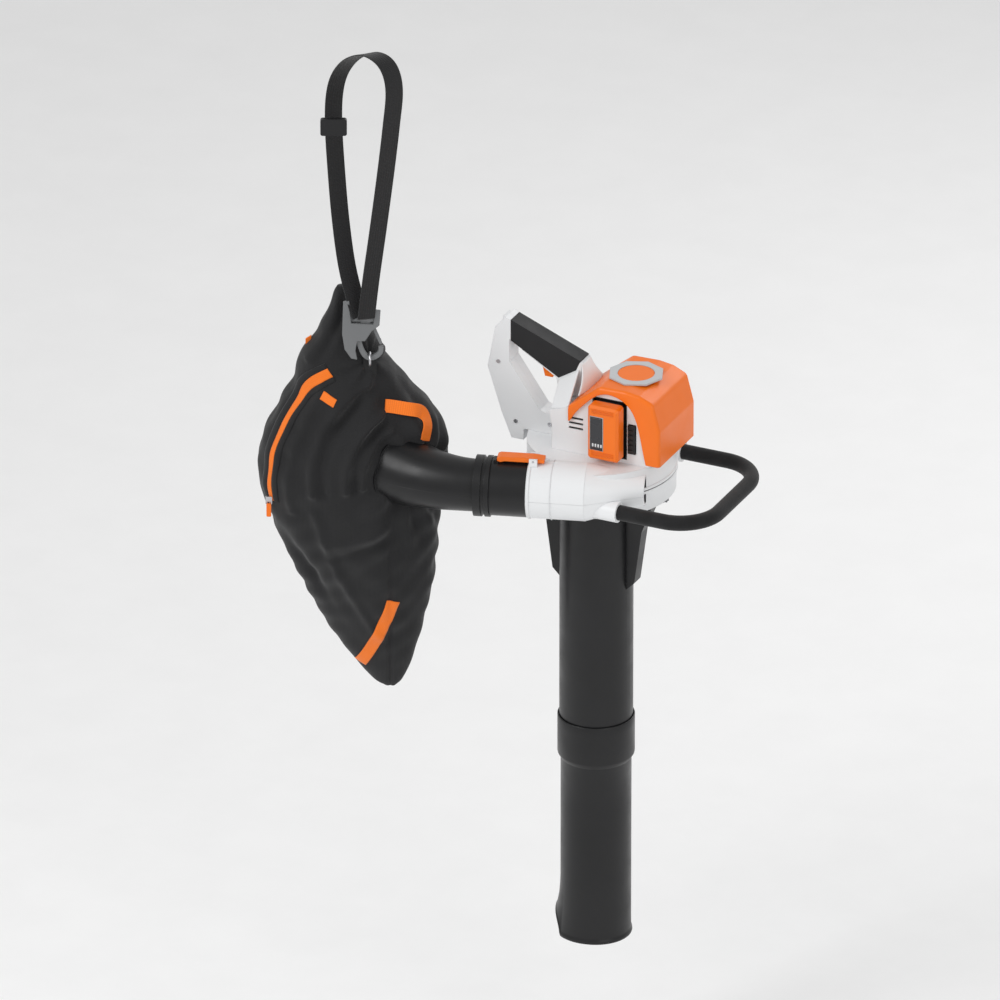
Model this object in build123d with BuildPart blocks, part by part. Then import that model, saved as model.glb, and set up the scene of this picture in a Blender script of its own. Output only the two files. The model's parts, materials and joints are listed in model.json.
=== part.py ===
from build123d import *
import os
from math import cos, radians, sin

os.makedirs("parts", exist_ok=True)

# Leaf vacuum mulcher.  +X is forward, +Z is up, and the origin lies on the suction tube's
# axis at the mouth, where the full round bore ends.  Heights called "level" are counted
# from the fan housing's underside.  All sizes are in millimetres.

# ---- fits ----
running_gap = 0.05
sliding_gap = 0.5
soft_gap = 0.4
moving_gap = 1.0

# ---- suction tube ----
tube_radius = 62
tube_wall = 2.5
floor_height = 790
collar_level = -428
collar_height = 73
collar_wall = 2.8
tube_insert = 45
lower_tube_radius = 59.5
mouth_drop = 46
mouth_arch_half = 44
flange_radius = 124
flange_thickness = 14
arm_reach = 88
arm_width = 26
arm_wall = 3
knob_x = 104
knob_y = 38
knob_radius = 10
knob_stem = 3

# ---- fan housing ----
scroll_start_radius = 113
scroll_end_radius = 142
housing_height = 80
housing_split = 38
housing_wall = 3
outlet_heading = 197
outlet_radius = 49
outlet_side = 122
outlet_reach = 97
outlet_level = 40
inlet_radius = 59

# ---- motor and fan ----
shaft_radius = 4
bearing_radius = 8
bearing_width = 7
stator_radius = 28
magnet_gap = 1
impeller_radius = 100
blade_count = 8
shredder_radius = 52

# ---- motor shroud, hood and battery ----
shroud_back = -52
shroud_front = 136
shroud_half = 66
shroud_top = 192
hood_front = 147
battery_back = 26
battery_length = 56
battery_height = 98
battery_low = 90.5
battery_inner = 55
battery_face = -72
battery_head_depth = 23
bay_wall = 2.5

# ---- rear handle ----
handle_half = 18
handle_wall = 3
grip_half = 17
grip_thickness = 4
trigger_half = 6.5
switch_half = 8
pin_radius = 2

# ---- front handle ----
loop_half_width = 128
loop_reach = 250
loop_corner = 70
loop_level = 20
loop_start = 100
core_radius = 9
foam_radius = 13
boss_radius = 17.5
boss_length = 52

# ---- outlet duct ----
duct_wall = 3
duct_straight = 62
duct_turn = 37
duct_bend_radius = 217
duct_end_radius = 60
rim_height = 4
spigot_length = 30

# ---- bag and strap ----
bag_turn = 25
bag_depth = 30
bag_skin = 2
trim_thickness = 1.5
webbing_width = 30
webbing_thickness = 2
strap_depth = -30


def level(height):
    """Row height of a point that lies height above the fan housing's underside."""
    return floor_height + height


def profile_extrude(points, low, high, mode=Mode.ADD):
    """Extrude a closed polygon given in X and level from Y = low to Y = high."""
    with BuildSketch(Plane.XZ.offset(-high)) as profile:
        with BuildLine():
            Polyline([(x, level(z)) for x, z in points], close=True)
        make_face()
    extrude(profile.sketch, amount=high - low, mode=mode)


# ---- directions of the outlet ----
heading = Vector(cos(radians(outlet_heading)), sin(radians(outlet_heading)), 0)
aside = Vector(-heading.Y, heading.X, 0)


def outlet_plane(distance, side, height=outlet_level):
    """Plane square to the outlet, at a distance along it and a distance beside the fan axis."""
    centre = heading * distance + aside * side + Vector(0, 0, level(height))
    return Plane(origin=centre, x_dir=aside, z_dir=heading)


def scroll_outline(inset, height):
    """Spiral wall whose radius grows evenly from the tongue to the outlet, less an inset."""
    tongue, sweep, steps = 44, 314, 16
    points = []
    for step in range(steps + 1):
        share = step / steps
        radius = scroll_start_radius + (scroll_end_radius - scroll_start_radius) * share - inset
        angle = radians(tongue - sweep * share)
        points.append((radius * cos(angle), radius * sin(angle)))
    with BuildSketch(Plane((0, 0, level(height)), x_dir=heading, z_dir=(0, 0, 1))) as outline:
        with BuildLine():
            Spline(points)
            Line(points[-1], points[0])
        make_face()
    return outline.sketch


def outlet_circle(distance, side, radius):
    """Round section of the outlet, square to its heading."""
    with BuildSketch(outlet_plane(distance, side)) as section:
        Circle(radius)
    return section.sketch


def volute(inset, mode=Mode.ADD):
    """Scroll, its swelling towards the outlet and the round outlet, all less an inset."""
    nose_distance, nose_side, nose_radius = -96, 98, 27
    extrude(scroll_outline(inset, inset), amount=housing_height - 2 * inset, mode=mode)
    nose = outlet_circle(nose_distance, nose_side, nose_radius - inset)
    throat = outlet_circle(0, outlet_side, outlet_radius - inset)
    loft([nose, throat], mode=mode)
    extrude(outlet_circle(-1, outlet_side, outlet_radius - inset), amount=outlet_reach + 1 + inset, mode=mode)


# ======================= fan housing =======================

boss_plane_near = Plane(origin=(loop_start - boss_length, -loop_half_width, level(loop_level)),
                        x_dir=(0, 1, 0), z_dir=(1, 0, 0))
boss_plane_far = Plane(origin=(loop_start - boss_length, loop_half_width, level(loop_level)),
                       x_dir=(0, 1, 0), z_dir=(1, 0, 0))

with BuildPart() as fan_housing_lower:
    volute(0)
    for boss_plane in (boss_plane_near, boss_plane_far):
        with BuildSketch(boss_plane):
            Circle(boss_radius)
        extrude(amount=boss_length)
        # A web ties each boss to the scroll wall.
        side = 1 if boss_plane is boss_plane_far else -1
        with BuildSketch(Plane.XY.offset(level(loop_level - 6))):
            with Locations((loop_start - boss_length / 2 - 6, side * (loop_half_width - 22))):
                Rectangle(boss_length - 12, 50)
        extrude(amount=12)
    volute(housing_wall, Mode.SUBTRACT)
    with Locations((0, 0, level(0))):
        Hole(inlet_radius)
    for boss_plane in (boss_plane_near, boss_plane_far):
        with BuildSketch(boss_plane.offset(boss_length)):
            Circle(core_radius)
        extrude(amount=-boss_length + 12, mode=Mode.SUBTRACT)
    split(bisect_by=Plane.XY.offset(level(housing_split)), keep=Keep.BOTTOM)
fan_housing_lower.part.label = "fan_housing_lower"
export_step(fan_housing_lower.part, "parts/fan_housing_lower.step")

mount_radius = 48
with BuildPart() as fan_housing_upper:
    volute(0)
    volute(housing_wall, Mode.SUBTRACT)
    with Locations((0, 0, level(housing_height))):
        Hole(mount_radius, depth=2 * housing_wall)
    split(bisect_by=Plane.XY.offset(level(housing_split)), keep=Keep.TOP)
fan_housing_upper.part.label = "fan_housing_upper"
export_step(fan_housing_upper.part, "parts/fan_housing_upper.step")

# ======================= motor and fan =======================

motor_low = 52
motor_high = 74
with BuildPart() as motor_mount:
    with BuildSketch(Plane.XY.offset(level(housing_height - housing_wall))):
        Circle(mount_radius)
    extrude(amount=housing_wall)
    with BuildSketch(Plane.XY.offset(level(motor_low))):
        Circle(bearing_radius + 4)
    extrude(amount=housing_height - housing_wall - motor_low)
    with Locations((0, 0, level(housing_height))):
        Hole(bearing_radius)
motor_mount.part.label = "motor_mount"
export_step(motor_mount.part, "parts/motor_mount.step")

for name, low in (("bearing_lower", motor_low), ("bearing_upper", housing_height - bearing_width)):
    with BuildPart() as bearing:
        with BuildSketch(Plane.XY.offset(level(low))):
            Circle(bearing_radius)
            Circle(shaft_radius, mode=Mode.SUBTRACT)
        extrude(amount=bearing_width)
    bearing.part.label = name
    export_step(bearing.part, f"parts/{name}.step")

with BuildPart() as motor_stator:
    with BuildSketch(Plane.XY.offset(level(motor_low + 3))):
        Circle(bearing_radius + 7)
        with PolarLocations((bearing_radius + stator_radius) / 2 + 2, 9):
            Rectangle(stator_radius - bearing_radius - 6, 5)
        with PolarLocations(0, 9):
            with Locations((stator_radius - 2, 0)):
                Rectangle(3, 14)
        Circle(bearing_radius + 4, mode=Mode.SUBTRACT)
    extrude(amount=motor_high - motor_low - 6)
motor_stator.part.label = "motor_stator"
export_step(motor_stator.part, "parts/motor_stator.step")

bell_inner = stator_radius + magnet_gap
with BuildPart() as motor_rotor:
    with BuildSketch(Plane.XY.offset(level(motor_low - 4))):
        Circle(bell_inner + 4)
    extrude(amount=motor_high - motor_low + 4)
    with BuildSketch(Plane.XY.offset(level(motor_low - 1))):
        Circle(bell_inner)
    extrude(amount=motor_high, mode=Mode.SUBTRACT)
    with Locations((0, 0, level(motor_low))):
        Hole(shaft_radius - running_gap)
motor_rotor.part.label = "motor_rotor"
export_step(motor_rotor.part, "parts/motor_rotor.step")

shaft_low = 0
with BuildPart() as motor_shaft:
    with BuildSketch(Plane.XY.offset(level(shaft_low))):
        Circle(shaft_radius - running_gap)
    extrude(amount=housing_height - 1 - shaft_low)
motor_shaft.part.label = "motor_shaft"
export_step(motor_shaft.part, "parts/motor_shaft.step")

disc_level = motor_low - 8
impeller_low = 14
hub_radius = 16
with BuildPart() as fan_impeller:
    with BuildSketch(Plane.XY.offset(level(disc_level))):
        Circle(impeller_radius)
    extrude(amount=4)
    with BuildSketch(Plane.XY.offset(level(impeller_low))):
        Circle(hub_radius)
        # Backward curved vanes, each a thin arc from the eye to the rim.
        with PolarLocations(0, blade_count):
            with BuildLine():
                vane = ThreePointArc((38, 0), (70, 13), (impeller_radius - 3, 44))
            trace(line_width=2.4)
    extrude(amount=disc_level - impeller_low)
    with Locations((0, 0, level(motor_low))):
        Hole(shaft_radius - running_gap)
fan_impeller.part.label = "fan_impeller"
export_step(fan_impeller.part, "parts/fan_impeller.step")

shredder_level = impeller_low - 3
with BuildPart() as shredder_blade:
    with BuildSketch(Plane.XY.offset(level(shredder_level))):
        SlotOverall(2 * shredder_radius, 20)
        Circle(shaft_radius - running_gap, mode=Mode.SUBTRACT)
    extrude(amount=3)
shredder_blade.part.label = "shredder_blade"
export_step(shredder_blade.part, "parts/shredder_blade.step")

with BuildPart() as blade_nut:
    with BuildSketch(Plane.XY.offset(level(shredder_level - 7))):
        RegularPolygon(8, 6)
        Circle(shaft_radius - running_gap, mode=Mode.SUBTRACT)
    extrude(amount=7)
blade_nut.part.label = "blade_nut"
export_step(blade_nut.part, "parts/blade_nut.step")

# ======================= motor shroud, battery bay and hood =======================

bay_back = battery_back - moving_gap - bay_wall
bay_front = battery_back + battery_length + moving_gap + bay_wall
bay_low = battery_low - moving_gap - bay_wall
bay_high = battery_low + battery_height + moving_gap + bay_wall
bay_deep = battery_inner + moving_gap + bay_wall
release_back = bay_front + 3
release_width = 13
release_low = battery_low + 10
release_height = 52
release_deep = 9

shroud_profile = [(shroud_back, housing_height), (shroud_back, 124), (shroud_back - 6, 150), (-20, 163),
                  (36, 207), (shroud_front - 34, 206), (shroud_front - 10, shroud_top), (shroud_front, 150),
                  (shroud_front, housing_height)]

with BuildPart() as motor_shroud:
    profile_extrude(shroud_profile, -shroud_half, shroud_half)
    upright = motor_shroud.edges().filter_by(Axis.Z).group_by(Axis.X)[-1]
    fillet(upright, 16)
    inner_profile = [(shroud_back + housing_wall, housing_height), (shroud_back + housing_wall, 124),
                     (shroud_back - 2, 148), (-19, 159.5), (37, 203.5), (shroud_front - 36, 202.5),
                     (shroud_front - 13, shroud_top - 2), (shroud_front - 4, 149),
                     (shroud_front - 4, housing_height)]
    profile_extrude(inner_profile, housing_wall - shroud_half, shroud_half - housing_wall, Mode.SUBTRACT)
    # Mouth of the battery bay in the near wall, open for the bay's sleeve.
    with BuildSketch(Plane.XZ.offset(shroud_half)):
        with Locations(((bay_back + bay_front) / 2, level((bay_low + bay_high) / 2))):
            Rectangle(bay_front - bay_back, bay_high - bay_low)
        with Locations((release_back + release_width / 2, level(release_low + release_height / 2))):
            Rectangle(release_width + 2 * moving_gap, release_height + 2 * moving_gap)
        # Vent slits behind the battery.
        with Locations((bay_back - 30, level(135))):
            with GridLocations(0, 9, 1, 3):
                Rectangle(26, 4)
    extrude(amount=-housing_wall - 1, mode=Mode.SUBTRACT)
motor_shroud.part.label = "motor_shroud"
export_step(motor_shroud.part, "parts/motor_shroud.step")

bay_plane = Plane.XZ.offset(shroud_half)
with BuildPart() as battery_bay:
    with BuildSketch(bay_plane):
        with Locations(((bay_back + bay_front) / 2, level((bay_low + bay_high) / 2))):
            Rectangle(bay_front - bay_back, bay_high - bay_low)
    extrude(amount=-shroud_half - bay_deep)
    with BuildSketch(bay_plane):
        with Locations(((bay_back + bay_front) / 2, level((bay_low + bay_high) / 2))):
            Rectangle(bay_front - bay_back - 2 * bay_wall, bay_high - bay_low - 2 * bay_wall)
    extrude(amount=-shroud_half - bay_deep + bay_wall, mode=Mode.SUBTRACT)
battery_bay.part.label = "battery_bay"
export_step(battery_bay.part, "parts/battery_bay.step")

terminal_count = 4
terminal_reach = 16
terminal_pitch = 13
slot_play = 1.5
with BuildPart() as battery_contacts:
    with BuildSketch(Plane.XZ.offset(-bay_deep + bay_wall)):
        with Locations((battery_back + battery_length / 2, level(battery_low + battery_height / 2))):
            with GridLocations(terminal_pitch, 0, terminal_count, 1):
                Rectangle(1.5, 12)
    extrude(amount=terminal_reach)
battery_contacts.part.label = "battery_contacts"
export_step(battery_contacts.part, "parts/battery_contacts.step")

with BuildPart() as controller_board:
    with BuildSketch(Plane.XZ.offset(40)):
        with Locations((shroud_front - 28, level(128))):
            Rectangle(30, 66)
        with Locations((shroud_front - 28, level(128))):
            with GridLocations(18, 50, 2, 2):
                Circle(1.6, mode=Mode.SUBTRACT)
    extrude(amount=-1.6)
    with BuildSketch(Plane.XZ.offset(38.4)):
        with Locations((shroud_front - 28, level(128))):
            with GridLocations(0, 14, 1, 3):
                Rectangle(12, 9)
    extrude(amount=-8)
controller_board.part.label = "controller_board"
export_step(controller_board.part, "parts/controller_board.step")

# The battery slides straight into the bay.  Its head stays proud of the near wall.
with BuildPart() as battery_case:
    with BuildSketch(Plane.XZ.offset(-battery_face)):
        with Locations((battery_back + battery_length / 2, level(battery_low + battery_height / 2))):
            RectangleRounded(battery_length, battery_height, 8)
    extrude(amount=battery_face - battery_inner)
    with BuildSketch(Plane.XZ.offset(-battery_inner)):
        with Locations((battery_back + battery_length / 2, level(battery_low + battery_height / 2))):
            with GridLocations(terminal_pitch, 0, terminal_count, 1):
                Rectangle(1.5 + 2 * slot_play, 12 + 2 * slot_play)
    extrude(amount=terminal_reach + 2, mode=Mode.SUBTRACT)
battery_case.part.label = "battery_case"
export_step(battery_case.part, "parts/battery_case.step")

head_low = battery_low
head_high = battery_low + battery_height
label_back = battery_back + 6
label_width = 22
with BuildPart() as battery_head:
    with BuildSketch(Plane.XZ.offset(-battery_face)):
        with Locations((battery_back + battery_length / 2, level((head_low + head_high) / 2))):
            RectangleRounded(battery_length, head_high - head_low, 6)
    extrude(amount=battery_head_depth)
    chamfer(battery_head.faces().sort_by(Axis.Y)[0].edges(), 4)
    with BuildSketch(Plane.XZ.offset(-battery_face + battery_head_depth)):
        with Locations((label_back + label_width / 2, level((head_low + head_high) / 2))):
            Rectangle(label_width, 60)
    extrude(amount=-2, mode=Mode.SUBTRACT)
battery_head.part.label = "battery_head"
export_step(battery_head.part, "parts/battery_head.step")

with BuildPart() as battery_label:
    with BuildSketch(Plane.XZ.offset(-battery_face + battery_head_depth - 2)):
        with Locations((label_back + label_width / 2, level((head_low + head_high) / 2))):
            Rectangle(label_width, 60)
    extrude(amount=1.2)
battery_label.part.label = "battery_label"
export_step(battery_label.part, "parts/battery_label.step")

# Release lever beside the battery, on an upright pin at its front edge.
release_pin_x = release_back + release_width - 2.5
release_pin_y = -shroud_half + 5
with BuildPart() as battery_release:
    with BuildSketch(Plane.XY.offset(level(release_low))):
        with BuildLine():
            Polyline([(release_back, -shroud_half - 3), (release_back + release_width, -shroud_half - 3),
                      (release_back + release_width, -shroud_half + 7.5),
                      (release_pin_x - 3, -shroud_half + 7.5), (release_pin_x - 4, -shroud_half + 2),
                      (release_back, -shroud_half + 2)], close=True)
        make_face()
        with Locations((release_pin_x, release_pin_y)):
            Circle(pin_radius * 0.75 + running_gap, mode=Mode.SUBTRACT)
    extrude(amount=release_height)
    with BuildSketch(Plane.XZ.offset(shroud_half + 3)):
        with Locations((release_back + release_width / 2 - 1, level(release_low + release_height / 2))):
            with GridLocations(0, 9, 1, 5):
                Rectangle(release_width - 5, 3)
    extrude(amount=-1.5, mode=Mode.SUBTRACT)
battery_release.part.label = "battery_release"
export_step(battery_release.part, "parts/battery_release.step")

with BuildPart() as release_pin:
    with BuildSketch(Plane.XY.offset(level(release_low - 3))):
        with Locations((release_pin_x, release_pin_y)):
            Circle(pin_radius * 0.75)
    extrude(amount=release_height + 6)
    for lug in (release_low - 6, release_low + release_height + moving_gap):
        with BuildSketch(Plane.XY.offset(level(lug))):
            with Locations((release_pin_x, -shroud_half + housing_wall + 4.5)):
                Rectangle(9, 8)
        extrude(amount=5)
release_pin.part.label = "release_pin"
export_step(release_pin.part, "parts/release_pin.step")

hood_back = -20
hood_profile = [(hood_back, 140), (hood_back, 167), (36, 212), (84, 213), (110, 209), (134, 198),
                (hood_front, 150), (hood_front, 86), (96, 86), (60, 140)]
hood_ridge_radius = 12
hood_rim_radius = 6
with BuildPart() as motor_hood:
    profile_extrude(hood_profile, -shroud_half - 5, shroud_half + 5)
    ridges = motor_hood.edges().filter_by(Axis.Y).filter_by(lambda edge: edge.center().Z > level(145))
    fillet(ridges.filter_by(lambda edge: edge.center().X > 0), hood_ridge_radius)
    for side in (0, -1):
        rim = motor_hood.faces().sort_by(Axis.Y)[side].edges()
        fillet(rim.filter_by(lambda edge: edge.center().Z > level(110) and edge.center().X > hood_back + 1
                             and edge.center().Z > level(160) or edge.center().X > hood_front - 8), hood_rim_radius)
    # Inside, the hood follows the shroud with a small gap.
    with BuildSketch(Plane.XZ.offset(-shroud_half - sliding_gap)):
        with BuildLine():
            Polyline([(x, level(z)) for x, z in
                      [(hood_back - 20, 70), (hood_back - 20, 150), (-20, 163.6), (35.8, 207.6),
                       (shroud_front - 33.7, 206.6), (shroud_front - 9.4, shroud_top + 0.6),
                       (shroud_front + 0.6, 150.2), (shroud_front + 0.6, 70)]], close=True)
        make_face()
    extrude(amount=2 * (shroud_half + sliding_gap), mode=Mode.SUBTRACT)
    # Arched windows leave the shroud's side panels and the battery clear.
    with BuildSketch(Plane.XZ.offset(-shroud_half - 20)):
        with BuildLine():
            Spline([(-24, level(70)), (-14, level(146)), (14, level(180)), (44, level(201)),
                    (86, level(191)), (109, level(147)), (128, level(70))])
            Line((128, level(70)), (-24, level(70)))
        make_face()
    extrude(amount=2 * (shroud_half + 20), mode=Mode.SUBTRACT)
motor_hood.part.label = "motor_hood"
export_step(motor_hood.part, "parts/motor_hood.step")

badge_x = 72
badge_across = 88
badge_level = 213.05
badge_plane = Plane(origin=(badge_x, 0, level(badge_level)), x_dir=(1, 0, 0), z_dir=(0, 0, 1))
with BuildPart() as hood_badge:
    with BuildSketch(badge_plane):
        RegularPolygon(badge_across / 2, 8, major_radius=False)
        Circle(31, mode=Mode.SUBTRACT)
    extrude(amount=3)
hood_badge.part.label = "hood_badge"
export_step(hood_badge.part, "parts/hood_badge.step")

with BuildPart() as badge_disc:
    with BuildSketch(badge_plane):
        Circle(30.8)
    extrude(amount=2.2)
badge_disc.part.label = "badge_disc"
export_step(badge_disc.part, "parts/badge_disc.step")

# ======================= rear handle =======================

handle_outer = [(-160, 280), (-178, 258), (-192, 184), (-166, 104), (-148, 60), (-126, 60),
                (-126, housing_height), (shroud_back - sliding_gap, housing_height),
                (shroud_back - sliding_gap, 124), (shroud_back - 6 - sliding_gap, 150.5),
                (hood_back - sliding_gap, 163.6), (hood_back - sliding_gap, 222)]
handle_gap = [(-152, 240), (-152, 200), (-96, 121), (-86, 117), (-53, 125), (-66, 187)]
grip_outline = [(-150, 276), (-22, 225), (-30, 207), (-62, 187), (-150, 238)]


def side_face(points, margin=0.0):
    """Closed side-view outline in X and level, shrunk by a margin."""
    with BuildSketch(Plane.XZ) as face:
        with BuildLine():
            Polyline([(x, level(z)) for x, z in points], close=True)
        make_face()
        if margin:
            offset(amount=-margin, kind=Kind.INTERSECTION, mode=Mode.REPLACE)
    return face.sketch


def handle_frame(margin=0.0):
    """Column, foot and neck of the rear handle, without the stretch under the grip."""
    return side_face(handle_outer, margin) - side_face(handle_gap, -margin) - side_face(grip_outline, -margin)


trigger_pin_x = -70
trigger_pin_z = level(208)
trigger_slot = [(-100, 160), (-100, 216), (-58, 216), (-58, 160)]
core_half = grip_half - grip_thickness
core_outline = [(-170, 284), (-16, 222), (-28, 208), (-62, 187), (-170, 248)]
switch_outline = [(-120, 227), (-120, 238), (-92, 238), (-92, 227)]
for name, side in (("handle_shell_near", 1), ("handle_shell_far", -1)):
    with BuildPart() as handle_shell:
        extrude(handle_frame(), amount=side * handle_half)
        extrude(side_face(core_outline, grip_thickness), amount=side * core_half)
        extrude(handle_frame(handle_wall), amount=side * (core_half - handle_wall), mode=Mode.SUBTRACT)
        profile_extrude(trigger_slot, -trigger_half - moving_gap, trigger_half + moving_gap, Mode.SUBTRACT)
        profile_extrude(switch_outline, -switch_half, switch_half, Mode.SUBTRACT)
        with Locations(Plane.XZ):
            with Locations((trigger_pin_x, trigger_pin_z)):
                Cylinder(pin_radius, 4 * handle_half, mode=Mode.SUBTRACT)
    handle_shell.part.label = name
    export_step(handle_shell.part, f"parts/{name}.step")

with BuildPart() as handle_grip:
    extrude(side_face(grip_outline), amount=grip_half, both=True)
    extrude(side_face(core_outline, grip_thickness), amount=core_half, both=True, mode=Mode.SUBTRACT)
    profile_extrude(trigger_slot, -trigger_half - moving_gap, trigger_half + moving_gap, Mode.SUBTRACT)
handle_grip.part.label = "handle_grip"
export_step(handle_grip.part, "parts/handle_grip.step")

with BuildPart() as trigger:
    profile_extrude([(-92, 180), (-96, 196), (-92, 206), (-76, 213), (-65, 212), (-63, 203), (-72, 190), (-78, 180)],
                    -trigger_half, trigger_half)
    with Locations(Plane.XZ):
        with Locations((trigger_pin_x, trigger_pin_z)):
            Cylinder(pin_radius + running_gap, 4 * handle_half, mode=Mode.SUBTRACT)
trigger.part.label = "trigger"
export_step(trigger.part, "parts/trigger.step")

with BuildPart() as trigger_pin:
    with Locations(Plane.XZ):
        with Locations((trigger_pin_x, trigger_pin_z)):
            Cylinder(pin_radius, 2 * core_half)
trigger_pin.part.label = "trigger_pin"
export_step(trigger_pin.part, "parts/trigger_pin.step")

# Switch body above the trigger's tail, inside the grip.
with BuildPart() as switch_module:
    profile_extrude(switch_outline, -switch_half, switch_half)
switch_module.part.label = "switch_module"
export_step(switch_module.part, "parts/switch_module.step")

# ======================= front loop handle =======================

loop_z = level(loop_level)


def loop_path(start):
    """Half-rounded U in a plane that rises gently towards the front."""
    front = Plane(origin=(start, 0, loop_z), x_dir=(1, 0, 0), z_dir=(0, 0, 1))
    with BuildLine(front) as path:
        FilletPolyline((0, -loop_half_width), (loop_reach - start, -loop_half_width),
                       (loop_reach - start, loop_half_width), (0, loop_half_width), radius=loop_corner)
    return path.line


with BuildPart() as front_handle:
    core_start = loop_start - boss_length + 12
    with BuildSketch(Plane(origin=(core_start, -loop_half_width, loop_z), z_dir=(1, 0, 0))):
        Circle(core_radius)
        Circle(core_radius - 2, mode=Mode.SUBTRACT)
    sweep(path=loop_path(core_start))
front_handle.part.label = "front_handle"
export_step(front_handle.part, "parts/front_handle.step")

with BuildPart() as front_handle_foam:
    with BuildSketch(Plane(origin=(loop_start, -loop_half_width, loop_z), z_dir=(1, 0, 0))):
        Circle(foam_radius)
        Circle(core_radius, mode=Mode.SUBTRACT)
    sweep(path=loop_path(loop_start))
front_handle_foam.part.label = "front_handle_foam"
export_step(front_handle_foam.part, "parts/front_handle_foam.step")

# ======================= suction tube =======================

tube_top = level(-sliding_gap)
upper_low = level(collar_level - tube_insert)
with BuildPart() as suction_tube_upper:
    with BuildSketch(Plane.XY.offset(upper_low)):
        Circle(tube_radius)
    extrude(amount=tube_top - upper_low)
    # Flange that meets the housing, with a coned underside.
    with BuildSketch(Plane.XY.offset(level(-flange_thickness))):
        Circle(flange_radius - 14)
    with BuildSketch(Plane.XY.offset(level(-4))):
        Circle(flange_radius)
    loft()
    with BuildSketch(Plane.XY.offset(level(-4))):
        Circle(flange_radius)
    extrude(amount=4 - sliding_gap)
    # Hollow gusset arms fore and aft carry the flange.
    for side in (1, -1):
        for shift in (1, -1):
            arm_y = shift * (arm_width - arm_wall) / 2
            profile_extrude([(side * (tube_radius - 1), -182), (side * (tube_radius + 13), -168),
                             (side * arm_reach, -72), (side * (flange_radius - 13), -10),
                             (side * (tube_radius - 1), -10)],
                            arm_y - arm_wall / 2, arm_y + arm_wall / 2)
        profile_extrude([(side * (tube_radius - 1), -182), (side * (tube_radius + 13), -168),
                         (side * arm_reach, -72), (side * (flange_radius - 13), -10),
                         (side * (flange_radius - 17), -10), (side * (arm_reach - 4), -72),
                         (side * (tube_radius + 9), -165), (side * (tube_radius - 1), -175)],
                        -arm_width / 2, arm_width / 2)
    with BuildSketch(Plane.XY.offset(upper_low)):
        Circle(tube_radius - tube_wall)
    extrude(amount=floor_height, mode=Mode.SUBTRACT)
    # The flange clears the round outlet and takes the lock knob's stem.
    extrude(outlet_circle(-2 * outlet_radius, outlet_side, outlet_radius + moving_gap), amount=2 * outlet_reach,
            mode=Mode.SUBTRACT)
    with Locations((knob_x, knob_y, level(0))):
        Cylinder(knob_stem, 4 * flange_thickness, mode=Mode.SUBTRACT)
suction_tube_upper.part.label = "suction_tube_upper"
export_step(suction_tube_upper.part, "parts/suction_tube_upper.step")

collar_radius = tube_radius + sliding_gap / 2 + collar_wall
collar_low = level(collar_level - collar_height)
collar_top = level(collar_level)
peg_z = level(collar_level - 38)
peg_radius = 5
peg_turn = -58
peg_direction = (cos(radians(peg_turn)), sin(radians(peg_turn)), 0)
bore_radius = lower_tube_radius - tube_wall
with BuildPart() as suction_tube_lower:
    with BuildSketch(Plane.XZ):
        with BuildLine():
            Polyline([(bore_radius, -mouth_drop), (lower_tube_radius, -mouth_drop),
                      (lower_tube_radius, collar_low - 6), (collar_radius, collar_low + 2),
                      (collar_radius, collar_top), (tube_radius + sliding_gap / 2, collar_top),
                      (tube_radius + sliding_gap / 2, upper_low - sliding_gap),
                      (bore_radius, upper_low - sliding_gap - 6)], close=True)
        make_face()
    revolve(axis=Axis.Z)
    # The mouth is arched at the back, so that it doesn't seal against the ground.
    with BuildSketch(Plane.YZ):
        with Locations((0, -mouth_drop)):
            Ellipse(mouth_arch_half, mouth_drop - 4)
    extrude(amount=-2 * tube_radius, mode=Mode.SUBTRACT)
    with BuildSketch(Plane(origin=(0, 0, peg_z), z_dir=peg_direction)):
        Circle(peg_radius + sliding_gap)
    extrude(amount=2 * tube_radius, mode=Mode.SUBTRACT)
suction_tube_lower.part.label = "suction_tube_lower"
export_step(suction_tube_lower.part, "parts/suction_tube_lower.step")

with BuildPart() as tube_peg:
    with BuildSketch(Plane(origin=(0, 0, peg_z), z_dir=peg_direction).offset(tube_radius)):
        Circle(peg_radius)
    extrude(amount=collar_wall - 0.5)
tube_peg.part.label = "tube_peg"
export_step(tube_peg.part, "parts/tube_peg.step")

# Thumb screw that locks the tube's flange to the housing.
with BuildPart() as tube_lock_knob:
    with BuildSketch(Plane.XY.offset(level(-flange_thickness - 16))):
        with Locations((knob_x, knob_y)):
            Circle(knob_radius)
            with PolarLocations(knob_radius + 1, 8):
                Circle(3, mode=Mode.SUBTRACT)
    extrude(amount=12)
    with BuildSketch(Plane.XY.offset(level(-flange_thickness - 5))):
        with Locations((knob_x, knob_y)):
            Circle(knob_stem - running_gap)
    extrude(amount=flange_thickness + 4)
tube_lock_knob.part.label = "tube_lock_knob"
export_step(tube_lock_knob.part, "parts/tube_lock_knob.step")

# ======================= outlet duct =======================

socket_radius = 48.5
socket_spigot = 17
neck_radius = 43
ring_start = outlet_reach + duct_straight
ring_width = 27


def duct_round(distance, radius):
    """Disc square to the outlet at a distance along it."""
    return outlet_circle(distance, outlet_side, radius)


def duct_tube(start, length, outer, inner):
    """Add a plain tube along the outlet."""
    extrude(duct_round(start, outer), amount=length)
    extrude(duct_round(start, inner), amount=length, mode=Mode.SUBTRACT)


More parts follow.
